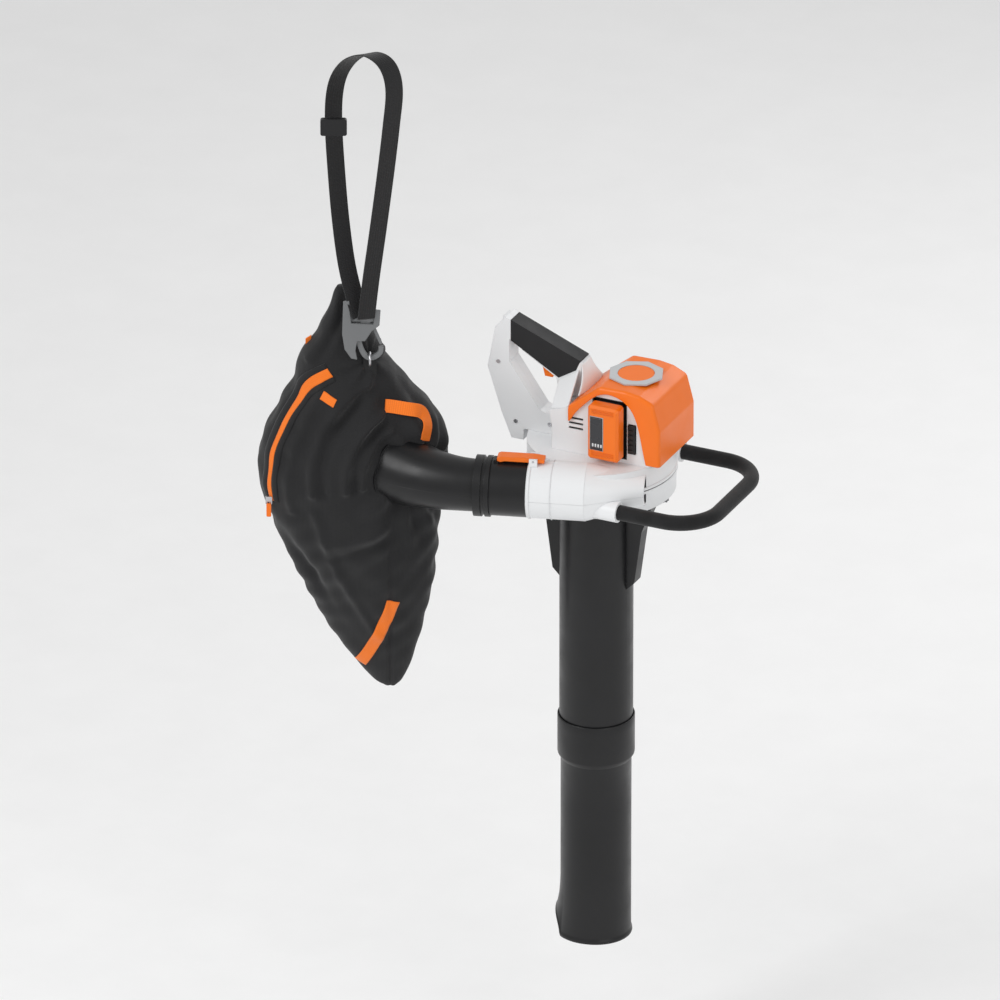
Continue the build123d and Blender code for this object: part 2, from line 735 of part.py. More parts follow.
catch_distance = ring_start - 9
with BuildPart() as duct_socket:
    extrude(duct_round(outlet_reach - socket_spigot, outlet_radius - housing_wall - 0.1), amount=socket_spigot)
    extrude(duct_round(outlet_reach, socket_radius), amount=duct_straight)
    with BuildSketch(outlet_plane(catch_distance, outlet_side, outlet_level + socket_radius)):
        Rectangle(16, 8)
    extrude(amount=5)
    extrude(duct_round(outlet_reach - socket_spigot, neck_radius), amount=socket_spigot + duct_straight,
            mode=Mode.SUBTRACT)
duct_socket.part.label = "duct_socket"
export_step(duct_socket.part, "parts/duct_socket.step")

with BuildPart() as coupling_ring:
    duct_tube(ring_start, ring_width, socket_radius, neck_radius)
    for start, width in ((0, 8), (14, 13)):
        duct_tube(ring_start + start, width, socket_radius + 3, neck_radius)
coupling_ring.part.label = "coupling_ring"
export_step(coupling_ring.part, "parts/coupling_ring.step")

bend_start = ring_start + ring_width
bend_origin = heading * bend_start + aside * outlet_side + Vector(0, 0, level(outlet_level))


def bend_frame(turn):
    """Centre and heading of the bent duct after it has turned by an angle in degrees."""
    swept = radians(turn)
    forward = heading * (duct_bend_radius * sin(swept))
    inward = aside * (duct_bend_radius * (1 - cos(swept)))
    return bend_origin + forward - inward, heading * cos(swept) - aside * sin(swept)


def bend_disc(turn, radius):
    """Disc square to the bent duct."""
    centre, direction = bend_frame(turn)
    with BuildSketch(Plane(origin=centre, z_dir=direction)) as disc:
        Circle(radius)
    return disc.sketch


def bend_loft(inset, mode=Mode.ADD):
    """The bend as one loft of discs whose radius flares towards the bag."""
    steps = 5
    discs = []
    for step in range(steps + 1):
        share = step / steps
        radius = neck_radius + 1 + (duct_end_radius - neck_radius - 1) * share ** 1.6 - inset
        discs.append(bend_disc(duct_turn * share, radius))
    loft(discs, mode=mode)


rim_centre, rim_direction = bend_frame(duct_turn)
spigot_radius = duct_end_radius - 4
for name, keep in (("duct_elbow_upper", Keep.TOP), ("duct_elbow_lower", Keep.BOTTOM)):
    with BuildPart() as duct_elbow:
        bend_loft(0)
        extrude(bend_disc(duct_turn, duct_end_radius + 3), amount=rim_height)
        extrude(bend_disc(duct_turn, spigot_radius), amount=rim_height + spigot_length)
        bend_loft(duct_wall, Mode.SUBTRACT)
        extrude(bend_disc(duct_turn, spigot_radius - duct_wall), amount=rim_height + spigot_length,
                mode=Mode.SUBTRACT)
        split(bisect_by=Plane.XY.offset(level(outlet_level)), keep=keep)
    duct_elbow.part.label = name
    export_step(duct_elbow.part, f"parts/{name}.step")

# Latch on top of the outlet: a rocker whose nose drops behind the socket's catch.
latch_pin_distance = outlet_reach - 9
latch_low = outlet_level + outlet_radius + 3
latch_half = 10
latch_plane = Plane(origin=aside * outlet_side, x_dir=heading, z_dir=-aside)
latch_pin_place = heading * latch_pin_distance + aside * outlet_side + Vector(0, 0, level(latch_low + 4))
latch_pin_plane = Plane(origin=latch_pin_place, x_dir=heading, z_dir=aside)


def latch_face(points):
    """Outline in distance along the outlet and level, in the latch's upright plane."""
    with BuildSketch(latch_plane) as face:
        with BuildLine():
            Polyline([(x, level(z)) for x, z in points], close=True)
        make_face()
    return face.sketch


with BuildPart() as duct_latch:
    extrude(latch_face([(70, latch_low), (70, latch_low + 6), (88, latch_low + 8), (144, latch_low + 8),
                        (149, latch_low + 6), (149, latch_low), (144, latch_low - 2), (136, latch_low)]),
            amount=latch_half, both=True)
    with Locations(latch_pin_plane):
        Cylinder(pin_radius + running_gap, 4 * latch_half, mode=Mode.SUBTRACT)
duct_latch.part.label = "duct_latch"
export_step(duct_latch.part, "parts/duct_latch.step")

with BuildPart() as latch_pin:
    with Locations(latch_pin_plane):
        Cylinder(pin_radius, 2 * latch_half + 10)
latch_pin.part.label = "latch_pin"
export_step(latch_pin.part, "parts/latch_pin.step")

# Two lugs on the outlet hold the latch's pin.
with BuildPart() as latch_lugs:
    for side in (1, -1):
        with BuildSketch(latch_plane.offset(side * (latch_half + 1))):
            with Locations((latch_pin_distance, level(latch_low - 1))):
                Rectangle(14, 18)
        extrude(amount=side * 4)
    extrude(duct_round(latch_pin_distance - 20, outlet_radius), amount=40, mode=Mode.SUBTRACT)
    with Locations(latch_pin_plane):
        Cylinder(pin_radius, 4 * latch_half, mode=Mode.SUBTRACT)
latch_lugs.part.label = "latch_lugs"
export_step(latch_lugs.part, "parts/latch_lugs.step")

# ======================= catcher bag =======================

# Each row: level, centre across the bag, half width, half depth.
bag_rows = [(346, -420, 14, 10), (250, -421, 55, 42), (185, -422, 88, 72), (118, -410, 125, 96),
            (40, -407, 153, 108), (-30, -410, 153, 108), (-134, -393, 127, 92), (-236, -372, 94, 62),
            (-338, -358, 48, 30), (-390, -345, 12, 10)]
turn_cos = cos(radians(bag_turn))
turn_sin = sin(radians(bag_turn))


def bag_plane(depth):
    """Upright plane of the bag; x runs across the bag, y upwards, and depth is counted away."""
    return Plane(origin=(-turn_sin * depth, turn_cos * depth, 0),
                 x_dir=(turn_cos, turn_sin, 0), z_dir=(turn_sin, -turn_cos, 0))


def bag_form(grow):
    """Closed form of the bag, grown outwards by a distance."""
    sections = []
    for height, centre, half_width, half_depth in bag_rows:
        origin = (centre * turn_cos - bag_depth * turn_sin, centre * turn_sin + bag_depth * turn_cos,
                  level(height + (grow if height > 0 else -grow) * (abs(height) > 340)))
        with BuildSketch(Plane(origin=origin, x_dir=(turn_cos, turn_sin, 0), z_dir=(0, 0, 1))) as section:
            Ellipse(half_width + grow, half_depth + grow)
        sections.append(section.sketch)
    with BuildPart() as form:
        loft(sections)
    return form.part


bag_outer = bag_form(0)
bag_grown = bag_form(trim_thickness)
cuff_radius = spigot_radius + 4
with BuildPart() as catcher_bag:
    add(bag_outer)
    add(bag_form(-bag_skin), mode=Mode.SUBTRACT)
    extrude(bend_disc(duct_turn - 12, cuff_radius + soft_gap), amount=120, mode=Mode.SUBTRACT)
catcher_bag.part.label = "catcher_bag"
export_step(catcher_bag.part, "parts/catcher_bag.step")

with BuildPart() as bag_cuff:
    extrude(bend_disc(duct_turn, cuff_radius), amount=rim_height + spigot_length)
    extrude(bend_disc(duct_turn, spigot_radius), amount=rim_height + spigot_length, mode=Mode.SUBTRACT)
    extrude(bend_disc(duct_turn, duct_end_radius + 4), amount=rim_height, mode=Mode.SUBTRACT)
bag_cuff.part.label = "bag_cuff"
export_step(bag_cuff.part, "parts/bag_cuff.step")


def bag_strip(points, width):
    """Strip of a width along a smooth line across the front of the bag."""
    with BuildSketch(bag_plane(bag_depth)) as strip:
        with BuildLine():
            Spline([(x, level(z)) for x, z in points])
        trace(line_width=width)
    return strip.sketch


trims = {
    "bag_zip": ([(-446, 216), (-492, 178), (-530, 104), (-546, -12)], 12),
    "bag_stripe": ([(-339, -220), (-368, -270), (-397, -318)], 30),
    "carry_loop": ([(-356, 160), (-328, 176), (-298, 150), (-276, 98)], 24),
}
for name, (points, width) in trims.items():
    with BuildPart() as trim:
        extrude(bag_strip(points, width), amount=200)
        add(bag_grown, mode=Mode.INTERSECT)
        add(bag_outer, mode=Mode.SUBTRACT)
    trim.part.label = name
    export_step(trim.part, f"parts/{name}.step")

# The zip's slider rides at the strip's lower end, and its pull hangs from it.
slider_x, slider_level, pull_length = -546, -18, 24
slider_depth = -30
with BuildPart() as zip_slider:
    with BuildSketch(bag_plane(slider_depth)):
        with Locations((slider_x, level(slider_level))):
            RectangleRounded(11, 14, 2)
            with Locations((0, -4)):
                Circle(1.6, mode=Mode.SUBTRACT)
    extrude(amount=5)
zip_slider.part.label = "zip_slider"

with BuildPart() as zip_pull:
    with BuildSketch(bag_plane(slider_depth - 6)):
        with Locations((slider_x, level(slider_level - 4 - pull_length / 2))):
            RectangleRounded(8, pull_length, 2)
    extrude(amount=3)
zip_pull.part.label = "zip_pull"

# Ring on the bag's shoulder, standing square to the hook that passes through it.
ring_across, ring_level, ring_radius, ring_wire = -377, 241, 11, 2
with BuildPart() as bag_ring:
    ring_centre = bag_plane(strap_depth).from_local_coords(Vector(ring_across, level(ring_level), 0))
    with Locations(Plane(origin=ring_centre, z_dir=(turn_cos, turn_sin, 0))):
        Torus(ring_radius, ring_wire)
bag_ring.part.label = "bag_ring"

# Webbing tab that holds the ring against the bag.
with BuildPart() as ring_tab:
    with BuildSketch(bag_plane(strap_depth + 1.5 + ring_radius)):
        with Locations((ring_across, level(ring_level - 14))):
            Rectangle(22, 40)
    extrude(amount=3)
    add(bag_outer, mode=Mode.SUBTRACT)
    add(bag_ring.part, mode=Mode.SUBTRACT)
ring_tab.part.label = "ring_tab"

hook_thickness = 6
hook_frame_level = 322
gate_pivot = (-372, level(304))
gate_tip = (-359, level(272))
with BuildPart() as strap_hook:
    with BuildSketch(bag_plane(strap_depth + hook_thickness / 2)):
        with BuildLine():
            Spline([(-384, level(316)), (-394, level(292)), (-392, level(262)), (-378, level(244)),
                    (-363, level(250)), (-359, level(265))])
        trace(line_width=8)
        with BuildLine():
            Line((-384, level(316)), gate_pivot)
        trace(line_width=9)
        with Locations((-388, level(hook_frame_level))):
            RectangleRounded(46, 22, 5)
        with Locations((-388, level(hook_frame_level + 3))):
            Rectangle(webbing_width + 6, 5, mode=Mode.SUBTRACT)
        with Locations(gate_pivot):
            Circle(5)
            Circle(pin_radius, mode=Mode.SUBTRACT)
    extrude(amount=hook_thickness)
    # The gate lies in a step in the hook's front face.
    with BuildSketch(bag_plane(strap_depth)):
        with BuildLine():
            Line(gate_pivot, gate_tip)
        trace(line_width=9)
        with Locations(gate_pivot):
            Circle(7)
    extrude(amount=hook_thickness, mode=Mode.SUBTRACT)
strap_hook.part.label = "strap_hook"

with BuildPart() as hook_gate:
    with BuildSketch(bag_plane(strap_depth - 0.3)):
        with BuildLine():
            Line(gate_pivot, gate_tip)
        trace(line_width=5)
        with Locations(gate_pivot):
            Circle(4.5)
            Circle(pin_radius + running_gap, mode=Mode.SUBTRACT)
        with Locations(gate_tip):
            Circle(2.5)
    extrude(amount=2.7)
hook_gate.part.label = "hook_gate"

with BuildPart() as gate_pin:
    with BuildSketch(bag_plane(strap_depth + hook_thickness / 2)):
        with Locations(gate_pivot):
            Circle(pin_radius)
    extrude(amount=hook_thickness)
gate_pin.part.label = "gate_pin"

# Shoulder strap, held up in a long loop; both ends meet at the hook's frame.
strap_foot = level(hook_frame_level + 11.5)
hook_across = -388
strap_half_spread = webbing_width / 2 + 0.5
strap_line = [(hook_across - strap_half_spread, strap_foot), (-436, level(690)), (-408, level(783)),
              (-350, level(776)), (-334, level(700)), (hook_across + strap_half_spread, strap_foot)]
with BuildPart() as shoulder_strap:
    with BuildSketch(bag_plane(strap_depth + webbing_thickness / 2)):
        with BuildLine():
            FilletPolyline(strap_line, radius=(60, 40, 34, 60))
        trace(line_width=webbing_width)
    extrude(amount=webbing_thickness)
shoulder_strap.part.label = "shoulder_strap"

adjuster_level = 667
with BuildPart() as strap_adjuster:
    with BuildSketch(bag_plane(strap_depth + 4)):
        with Locations((-436, level(adjuster_level))):
            RectangleRounded(webbing_width + 14, 30, 4)
    extrude(amount=8)
    with BuildSketch(bag_plane(strap_depth + webbing_thickness / 2)):
        with Locations((-435.5, level(adjuster_level))):
            Rectangle(webbing_width + 6, 40)
    extrude(amount=webbing_thickness, mode=Mode.SUBTRACT)
strap_adjuster.part.label = "strap_adjuster"

# ======================= fasteners =======================

screw_head = 3.5
with BuildPart() as housing_screws:
    with Locations(Plane.XY.offset(level(housing_height))):
        with PolarLocations(mount_radius - 5, 4, start_angle=45):
            Cylinder(screw_head, 2.5, align=(Align.CENTER, Align.CENTER, Align.MIN))
housing_screws.part.label = "housing_screws"

with BuildPart() as handle_screws:
    for x, z in ((-172, 196), (-140, 92), (-78, 98)):
        with BuildSketch(Plane.XZ.offset(handle_half)):
            with Locations((x, level(z))):
                Circle(screw_head)
        extrude(amount=1.5)
handle_screws.part.label = "handle_screws"

for piece in (zip_slider, zip_pull, bag_ring, ring_tab, strap_hook, hook_gate, gate_pin, shoulder_strap,
              strap_adjuster, housing_screws, handle_screws):
    export_step(piece.part, f"parts/{piece.part.label}.step")
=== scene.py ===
"""Looks of the leaf vacuum mulcher: fabric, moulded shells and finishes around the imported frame."""
import json

import bmesh
import bpy
import numpy as np
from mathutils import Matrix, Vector


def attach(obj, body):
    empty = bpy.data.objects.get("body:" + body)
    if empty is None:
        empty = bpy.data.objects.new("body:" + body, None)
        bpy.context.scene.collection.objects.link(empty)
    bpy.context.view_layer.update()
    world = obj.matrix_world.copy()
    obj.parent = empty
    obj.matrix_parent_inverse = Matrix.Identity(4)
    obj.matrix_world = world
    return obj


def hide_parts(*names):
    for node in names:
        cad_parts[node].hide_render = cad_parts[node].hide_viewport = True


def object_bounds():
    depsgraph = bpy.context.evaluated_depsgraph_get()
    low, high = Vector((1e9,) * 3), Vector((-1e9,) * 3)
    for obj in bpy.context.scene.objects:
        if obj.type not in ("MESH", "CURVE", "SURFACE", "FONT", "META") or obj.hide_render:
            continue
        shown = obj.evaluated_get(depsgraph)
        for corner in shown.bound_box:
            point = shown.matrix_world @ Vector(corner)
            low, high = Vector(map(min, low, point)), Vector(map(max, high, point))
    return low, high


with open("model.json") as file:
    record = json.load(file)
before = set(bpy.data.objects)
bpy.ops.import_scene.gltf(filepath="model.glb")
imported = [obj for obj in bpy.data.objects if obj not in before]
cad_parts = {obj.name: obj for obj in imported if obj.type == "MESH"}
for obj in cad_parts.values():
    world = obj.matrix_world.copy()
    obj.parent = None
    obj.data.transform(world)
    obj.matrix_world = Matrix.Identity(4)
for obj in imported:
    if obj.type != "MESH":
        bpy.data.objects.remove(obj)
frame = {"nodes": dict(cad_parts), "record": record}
cad_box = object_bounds()

FLOOR = 0.790                      # height of the fan housing's underside
BAG_TURN = np.radians(25.0)        # the bag hangs in a plane turned from the machine's length
HEADING = np.radians(197.0)        # direction in which the outlet leaves the fan
OUT = np.array([np.cos(HEADING), np.sin(HEADING), 0.0])
ASIDE = np.array([-OUT[1], OUT[0], 0.0])
UP = np.array([0.0, 0.0, 1.0])
ACROSS = np.array([np.cos(BAG_TURN), np.sin(BAG_TURN), 0.0])
AWAY = np.array([-np.sin(BAG_TURN), np.cos(BAG_TURN), 0.0])


# ---------------------------------------------------------------- mesh helpers

def mesh_object(name, points, faces, body="machine", smooth=True):
    """A mesh at the origin whose place is in its points, riding on a body."""
    mesh = bpy.data.meshes.new(name)
    mesh.from_pydata(np.asarray(points, float).reshape(-1, 3).tolist(), [], [list(f) for f in faces])
    mesh.update()
    if smooth:
        mesh.polygons.foreach_set("use_smooth", np.ones(len(mesh.polygons), bool))
    piece = bpy.data.objects.new(name, mesh)
    bpy.context.scene.collection.objects.link(piece)
    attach(piece, body)
    return piece


def grid_faces(rows, columns, wrap_rows=False, wrap_columns=False):
    """Quads of a grid of points, closed round either way if asked."""
    last_row = rows if wrap_rows else rows - 1
    last_column = columns if wrap_columns else columns - 1
    i, j = np.meshgrid(np.arange(last_row), np.arange(last_column), indexing="ij")
    a = i * columns + j
    b = i * columns + (j + 1) % columns
    c = ((i + 1) % rows) * columns + (j + 1) % columns
    d = ((i + 1) % rows) * columns + j
    return np.stack([a, b, c, d], -1).reshape(-1, 4)


def surface(name, points, wrap_rows=False, wrap_columns=False, caps=False, body="machine", smooth=True,
            uv=None):
    """Grid of points as a mesh; caps close its first and last rows with a fan."""
    rows, columns = points.shape[:2]
    faces = grid_faces(rows, columns, wrap_rows, wrap_columns).tolist()
    flat = points.reshape(-1, 3)
    if caps:
        ends = np.stack([points[0].mean(0), points[-1].mean(0)])
        base = len(flat)
        flat = np.vstack([flat, ends])
        around = np.arange(columns if wrap_columns else columns - 1)
        after = (around + 1) % columns
        faces += np.stack([after, around, np.full_like(around, base)], -1).tolist()
        top = (rows - 1) * columns
        faces += np.stack([top + around, top + after, np.full_like(around, base + 1)], -1).tolist()
    piece = mesh_object(name, flat, faces, body, smooth)
    if uv is not None:
        layer = piece.data.uv_layers.new(name="UVMap")
        loops = np.empty(len(piece.data.loops), int)
        piece.data.loops.foreach_get("vertex_index", loops)
        table = np.vstack([uv.reshape(-1, 2), np.zeros((len(flat) - rows * columns, 2))])
        layer.data.foreach_set("uv", table[loops].ravel())
    return piece


def outward(piece):
    """Turn every face of a closed piece outwards."""
    work = bmesh.new()
    work.from_mesh(piece.data)
    bmesh.ops.remove_doubles(work, verts=work.verts, dist=1e-6)
    bmesh.ops.recalc_face_normals(work, faces=work.faces)
    work.to_mesh(piece.data)
    work.free()
    return piece


def bevel(piece, width, segments=2, angle=35):
    """Round a piece's sharp edges."""
    rounding = piece.modifiers.new("edge_rounding", "BEVEL")
    rounding.width = width
    rounding.segments = segments
    rounding.limit_method = "ANGLE"
    rounding.angle_limit = np.radians(angle)
    rounding.harden_normals = False
    return piece


def thicken(piece, thickness, offset=-1.0):
    """Give a single surface its wall."""
    wall = piece.modifiers.new("wall", "SOLIDIFY")
    wall.thickness = thickness
    wall.offset = offset
    return piece


def smooth_line(points, count):
    """Catmull-Rom line through points, at evenly spaced parameters."""
    points = np.asarray(points, float)
    padded = np.vstack([2 * points[0] - points[1], points, 2 * points[-1] - points[-2]])
    t = np.linspace(0, len(points) - 1 - 1e-9, count)
    k = t.astype(int)
    f = (t - k)[:, None]
    p0, p1, p2, p3 = padded[k], padded[k + 1], padded[k + 2], padded[k + 3]
    return 0.5 * ((2 * p1) + (p2 - p0) * f + (2 * p0 - 5 * p1 + 4 * p2 - p3) * f ** 2
                  + (3 * p1 - p0 - 3 * p2 + p3) * f ** 3)


def even_line(points, count):
    """Smooth line through points, at evenly spaced lengths."""
    fine = smooth_line(points, 40 * len(points))
    length = np.concatenate([[0], np.cumsum(np.linalg.norm(np.diff(fine, axis=0), axis=1))])
    at = np.linspace(0, length[-1], count)
    return np.stack([np.interp(at, length, fine[:, k]) for k in range(fine.shape[1])], -1), length[-1]


def unit(vectors):
    """Vectors scaled to length one."""
    return vectors / np.maximum(np.linalg.norm(vectors, axis=-1, keepdims=True), 1e-12)


# ---------------------------------------------------------------- materials

class Finish:
    """A material under construction: a Principled shader with object coordinates at hand."""

    def __init__(self, name, colour, roughness, **sockets):
        self.material = bpy.data.materials.new(name)
        self.material.use_nodes = True
        self.material.diffuse_color = (*colour, 1)
        self.tree = self.material.node_tree
        self.shader = self.tree.nodes["Principled BSDF"]
        self.shader.inputs["Base Color"].default_value = (*colour, 1)
        self.shader.inputs["Roughness"].default_value = roughness
        for socket, value in sockets.items():
            self.shader.inputs[socket.replace("_", " ")].default_value = value
        self.place = self.tree.nodes.new("ShaderNodeTexCoord").outputs["Object"]
        self.height = None

    def node(self, kind, **values):
        """A node of a kind, with its sockets and properties set."""
        made = self.tree.nodes.new(kind)
        for key, value in values.items():
            if hasattr(made, key):
                setattr(made, key, value)
            else:
                made.inputs[key].default_value = value
        return made

    def link(self, start, end):
        """Join two sockets."""
        self.tree.links.new(start, end)

    def noise(self, scale, detail=3.0, roughness=0.55, stretch=None):
        """Noise over the object's own coordinates."""
        made = self.node("ShaderNodeTexNoise")
        made.inputs["Scale"].default_value = scale
        made.inputs["Detail"].default_value = detail
        made.inputs["Roughness"].default_value = roughness
        source = self.place
        if stretch:
            mapping = self.node("ShaderNodeMapping")
            mapping.inputs["Scale"].default_value = stretch
            self.link(source, mapping.inputs["Vector"])
            source = mapping.outputs["Vector"]
        self.link(source, made.inputs["Vector"])
        return made.outputs["Fac"]

    def spread(self, source, low, high):
        """Map a 0 to 1 value onto a range."""
        made = self.node("ShaderNodeMapRange")
        made.inputs["From Min"].default_value = 0.3
        made.inputs["From Max"].default_value = 0.7
        made.inputs["To Min"].default_value = low
        made.inputs["To Max"].default_value = high
        self.link(source, made.inputs["Value"])
        return made.outputs["Result"]

    def math(self, operation, a, b=None):
        """Arithmetic on values or sockets."""
        made = self.node("ShaderNodeMath", operation=operation)
        for slot, value in ((0, a), (1, b)):
            if value is None:
                continue
            if hasattr(value, "node"):
                self.link(value, made.inputs[slot])
            else:
                made.inputs[slot].default_value = value
        return made.outputs[0]

    def blend_colour(self, factor, first, second):
        """Mix two colours by a value, into the base colour."""
        made = self.node("ShaderNodeMix", data_type="RGBA")
        self.link(factor, made.inputs[0])
        for slot, colour in ((6, first), (7, second)):
            if hasattr(colour, "node"):
                self.link(colour, made.inputs[slot])
            else:
                made.inputs[slot].default_value = (*colour, 1)
        self.link(made.outputs[2], self.shader.inputs["Base Color"])
        return made.outputs[2]

    def vary_roughness(self, source, low, high):
        """Let the gloss change over the surface."""
        self.link(self.spread(source, low, high), self.shader.inputs["Roughness"])

    def soften(self, radius):
        """Round the shading of sharp edges by a radius."""
        made = self.node("ShaderNodeBevel", samples=4)
        made.inputs["Radius"].default_value = radius
        self.height = made.outputs["Normal"]

    def bump(self, source, strength, distance):
        """Add a height to the surface, over any height added before."""
        made = self.node("ShaderNodeBump")
        made.inputs["Strength"].default_value = strength
        made.inputs["Distance"].default_value = distance
        self.link(source, made.inputs["Height"])
        if self.height is not None:
            self.link(self.height, made.inputs["Normal"])
        self.height = made.outputs["Normal"]
        self.link(self.height, self.shader.inputs["Normal"])


def shade(colour, factor):
    """A colour made lighter or darker."""
    return tuple(min(1.0, channel * factor) for channel in colour)


def moulded(name, colour, roughness, grain=2200.0, depth=0.00006, mottle=0.06, coat=0.0):
    """Moulded plastic: spark-eroded grain, a faint cloud in its colour and handling marks in its gloss."""
    finish = Finish(name, colour, roughness, Specular_IOR_Level=0.38, Coat_Weight=coat, Coat_Roughness=0.25)
    finish.blend_colour(finish.spread(finish.noise(9.0), 0.0, 1.0),
                        shade(colour, 1 - mottle), shade(colour, 1 + mottle))
    finish.vary_roughness(finish.noise(28.0, 5.0), roughness - 0.06, roughness + 0.07)
    finish.soften(0.0018)
    finish.bump(finish.noise(grain, 2.0), 0.35, depth)
    return finish.material


WHITE = (0.80, 0.81, 0.82)
ORANGE = (0.90, 0.172, 0.004)
BLACK = (0.0062, 0.0062, 0.0070)
GREY = (0.17, 0.175, 0.18)
white_plastic = moulded("white_moulded_shell", WHITE, 0.40, mottle=0.012, coat=0.05)
orange_plastic = moulded("orange_moulded_hood", ORANGE, 0.34, mottle=0.03, coat=0.08)
black_plastic = moulded("black_moulded_plastic", BLACK, 0.36, mottle=0.25, coat=0.05)
grey_plastic = moulded("grey_moulded_plastic", GREY, 0.42, mottle=0.05)
light_grey_plastic = moulded("light_grey_badge_plastic", (0.52, 0.53, 0.54), 0.38, mottle=0.02)
soft_rubber = moulded("soft_grip_rubber", (0.014, 0.014, 0.015), 0.58, grain=1500.0, depth=0.00012,
                      mottle=0.2)
steel = Finish("machined_steel", (0.55, 0.55, 0.57), 0.30, Metallic=1.0)
steel.vary_roughness(steel.noise(60.0, 4.0, stretch=(1, 1, 14)), 0.22, 0.40)
steel.bump(steel.noise(900.0, 2.0, stretch=(1, 1, 10)), 0.2, 0.00003)
copper = Finish("plated_contact_metal", (0.78, 0.50, 0.24), 0.28, Metallic=1.0)
copper.vary_roughness(copper.noise(300.0), 0.2, 0.38)
board_green = moulded("circuit_board_green", (0.02, 0.13, 0.05), 0.35, mottle=0.2)
film = moulded("dark_label_film", (0.035, 0.036, 0.04), 0.25, grain=3500.0, depth=0.00001)

# CAD nodes keep their shape and take these finishes.
NODE_FINISH = {
    "white_shell": white_plastic, "orange_shell": orange_plastic, "grey_plastic": grey_plastic,
    "badge_orange": orange_plastic, "black_plastic": black_plastic, "soft_grip": soft_rubber,
    "steel": steel.material, "zip_metal": steel.material, "copper_contact": copper.material,
    "circuit_board": board_green, "label_film": film,
    "bag_fabric": black_plastic, "webbing": black_plastic, "orange_webbing": orange_plastic,
}
slot_of = {part["node"]: part["material_slot"] for part in frame["record"]["subparts"]}
for node, piece in frame["nodes"].items():
    piece.data.materials.clear()
    piece.data.materials.append(NODE_FINISH[slot_of[node]])

# ---------------------------------------------------------------- stage

floor_level = -0.30
corners = [(-8, -8, floor_level), (8, -8, floor_level), (8, 8, floor_level), (-8, 8, floor_level)]
floor = mesh_object("studio_floor", corners, [(0, 1, 2, 3)], smooth=False)
floor.data.materials.append(moulded("pale_studio_floor", (0.93, 0.93, 0.93), 0.8, grain=200.0, mottle=0.01))


def area_light(name, place, aim, size, power, colour=(1, 1, 1)):
    """A soft rectangular light that points at a place."""
    lamp = bpy.data.lights.new(name, "AREA")
    lamp.shape = "RECTANGLE"
    lamp.size = size
    lamp.size_y = size
    lamp.energy = power
    lamp.color = colour
    holder = bpy.data.objects.new(name, lamp)
    bpy.context.scene.collection.objects.link(holder)
    holder.location = place
    holder.rotation_euler = (Vector(aim) - Vector(place)).to_track_quat("-Z", "Y").to_euler()


middle = Vector((-0.15, -0.07, 0.8))
area_light("key_light", (-2.2, -3.0, 3.6), middle, 2.2, 76)
area_light("fill_light", (3.2, -2.2, 2.2), middle, 2.6, 34)
area_light("back_light", (0.6, 3.4, 2.6), middle, 2.4, 38)
world = bpy.data.worlds.new("studio")
world.use_nodes = True
world.node_tree.nodes["Background"].inputs["Color"].default_value = (1, 1, 1, 1)
world.node_tree.nodes["Background"].inputs["Strength"].default_value = 0.62
bpy.context.scene.world = world
bpy.context.scene.view_settings.view_transform = "Standard"

camera_data = bpy.data.cameras.new("camera")
camera = bpy.data.objects.new("camera", camera_data)
bpy.context.scene.collection.objects.link(camera)
elevation = np.radians(26.0)
aim = ACROSS * -0.161 + UP * (FLOOR - 0.034)
look = AWAY * np.cos(elevation) - UP * np.sin(elevation)
camera_distance = 40.0
camera.location = aim - look * camera_distance
camera.rotation_euler = Vector(look).to_track_quat("-Z", "Y").to_euler()
camera_data.lens = 864.0
camera_data.sensor_width = 36.0
bpy.context.scene.camera = camera

# ---------------------------------------------------------------- catcher bag

BAG_DEPTH = 0.030
# Height above the fan housing's underside, left edge, right edge and half depth of the bag.
BAG_ROWS = np.array([
    (-0.392, -0.353, -0.336, 0.006), (-0.378, -0.374, -0.323, 0.014), (-0.338, -0.406, -0.305, 0.032),
    (-0.272, -0.451, -0.286, 0.055), (-0.200, -0.489, -0.271, 0.077), (-0.134, -0.521, -0.265, 0.093),
    (-0.075, -0.541, -0.262, 0.103), (-0.010, -0.559, -0.258, 0.108), (0.058, -0.558, -0.252, 0.107),
    (0.110, -0.541, -0.267, 0.098), (0.170, -0.514, -0.321, 0.078), (0.238, -0.481, -0.356, 0.050),
    (0.290, -0.452, -0.385, 0.030), (0.335, -0.439, -0.402, 0.014), (0.348, -0.432, -0.408, 0.008)])


def bag_outline(height):
    """Left edge, right edge and half depth of the bag at heights, read smoothly from its rows."""
    fine = smooth_line(BAG_ROWS, 600)
    return [np.interp(height, fine[:, 0], fine[:, column]) for column in (1, 2, 3)]


def ripples(place, wavelength, count, seed):
    """Sum of seeded sine waves in random directions: smooth, repeatable cloth noise near -1 to 1."""
    draw = np.random.default_rng(seed)
    direction = unit(draw.normal(size=(count, 3)))
    turns = 2 * np.pi / (wavelength * draw.uniform(0.7, 1.4, count))
    phase = draw.uniform(0, 2 * np.pi, count)
    return np.sin(place @ (direction * turns[:, None]).T + phase).sum(-1) / np.sqrt(count)


def bag_place(across, away, height):
    """Point in the machine's frame from the bag's own across, away and height."""
    return (across[..., None] * ACROSS + away[..., None] * AWAY
            + (np.asarray(height) + FLOOR)[..., None] * UP)


ELBOW_END = np.array([-0.2572, -0.1604, FLOOR + 0.040])
END_HEADING = np.array([np.cos(HEADING - np.radians(37.0)), np.sin(HEADING - np.radians(37.0)), 0.0])


# The cuff's place on the bag's front, in across and height.
CUFF_ACROSS, CUFF_HEIGHT = -0.300, 0.040


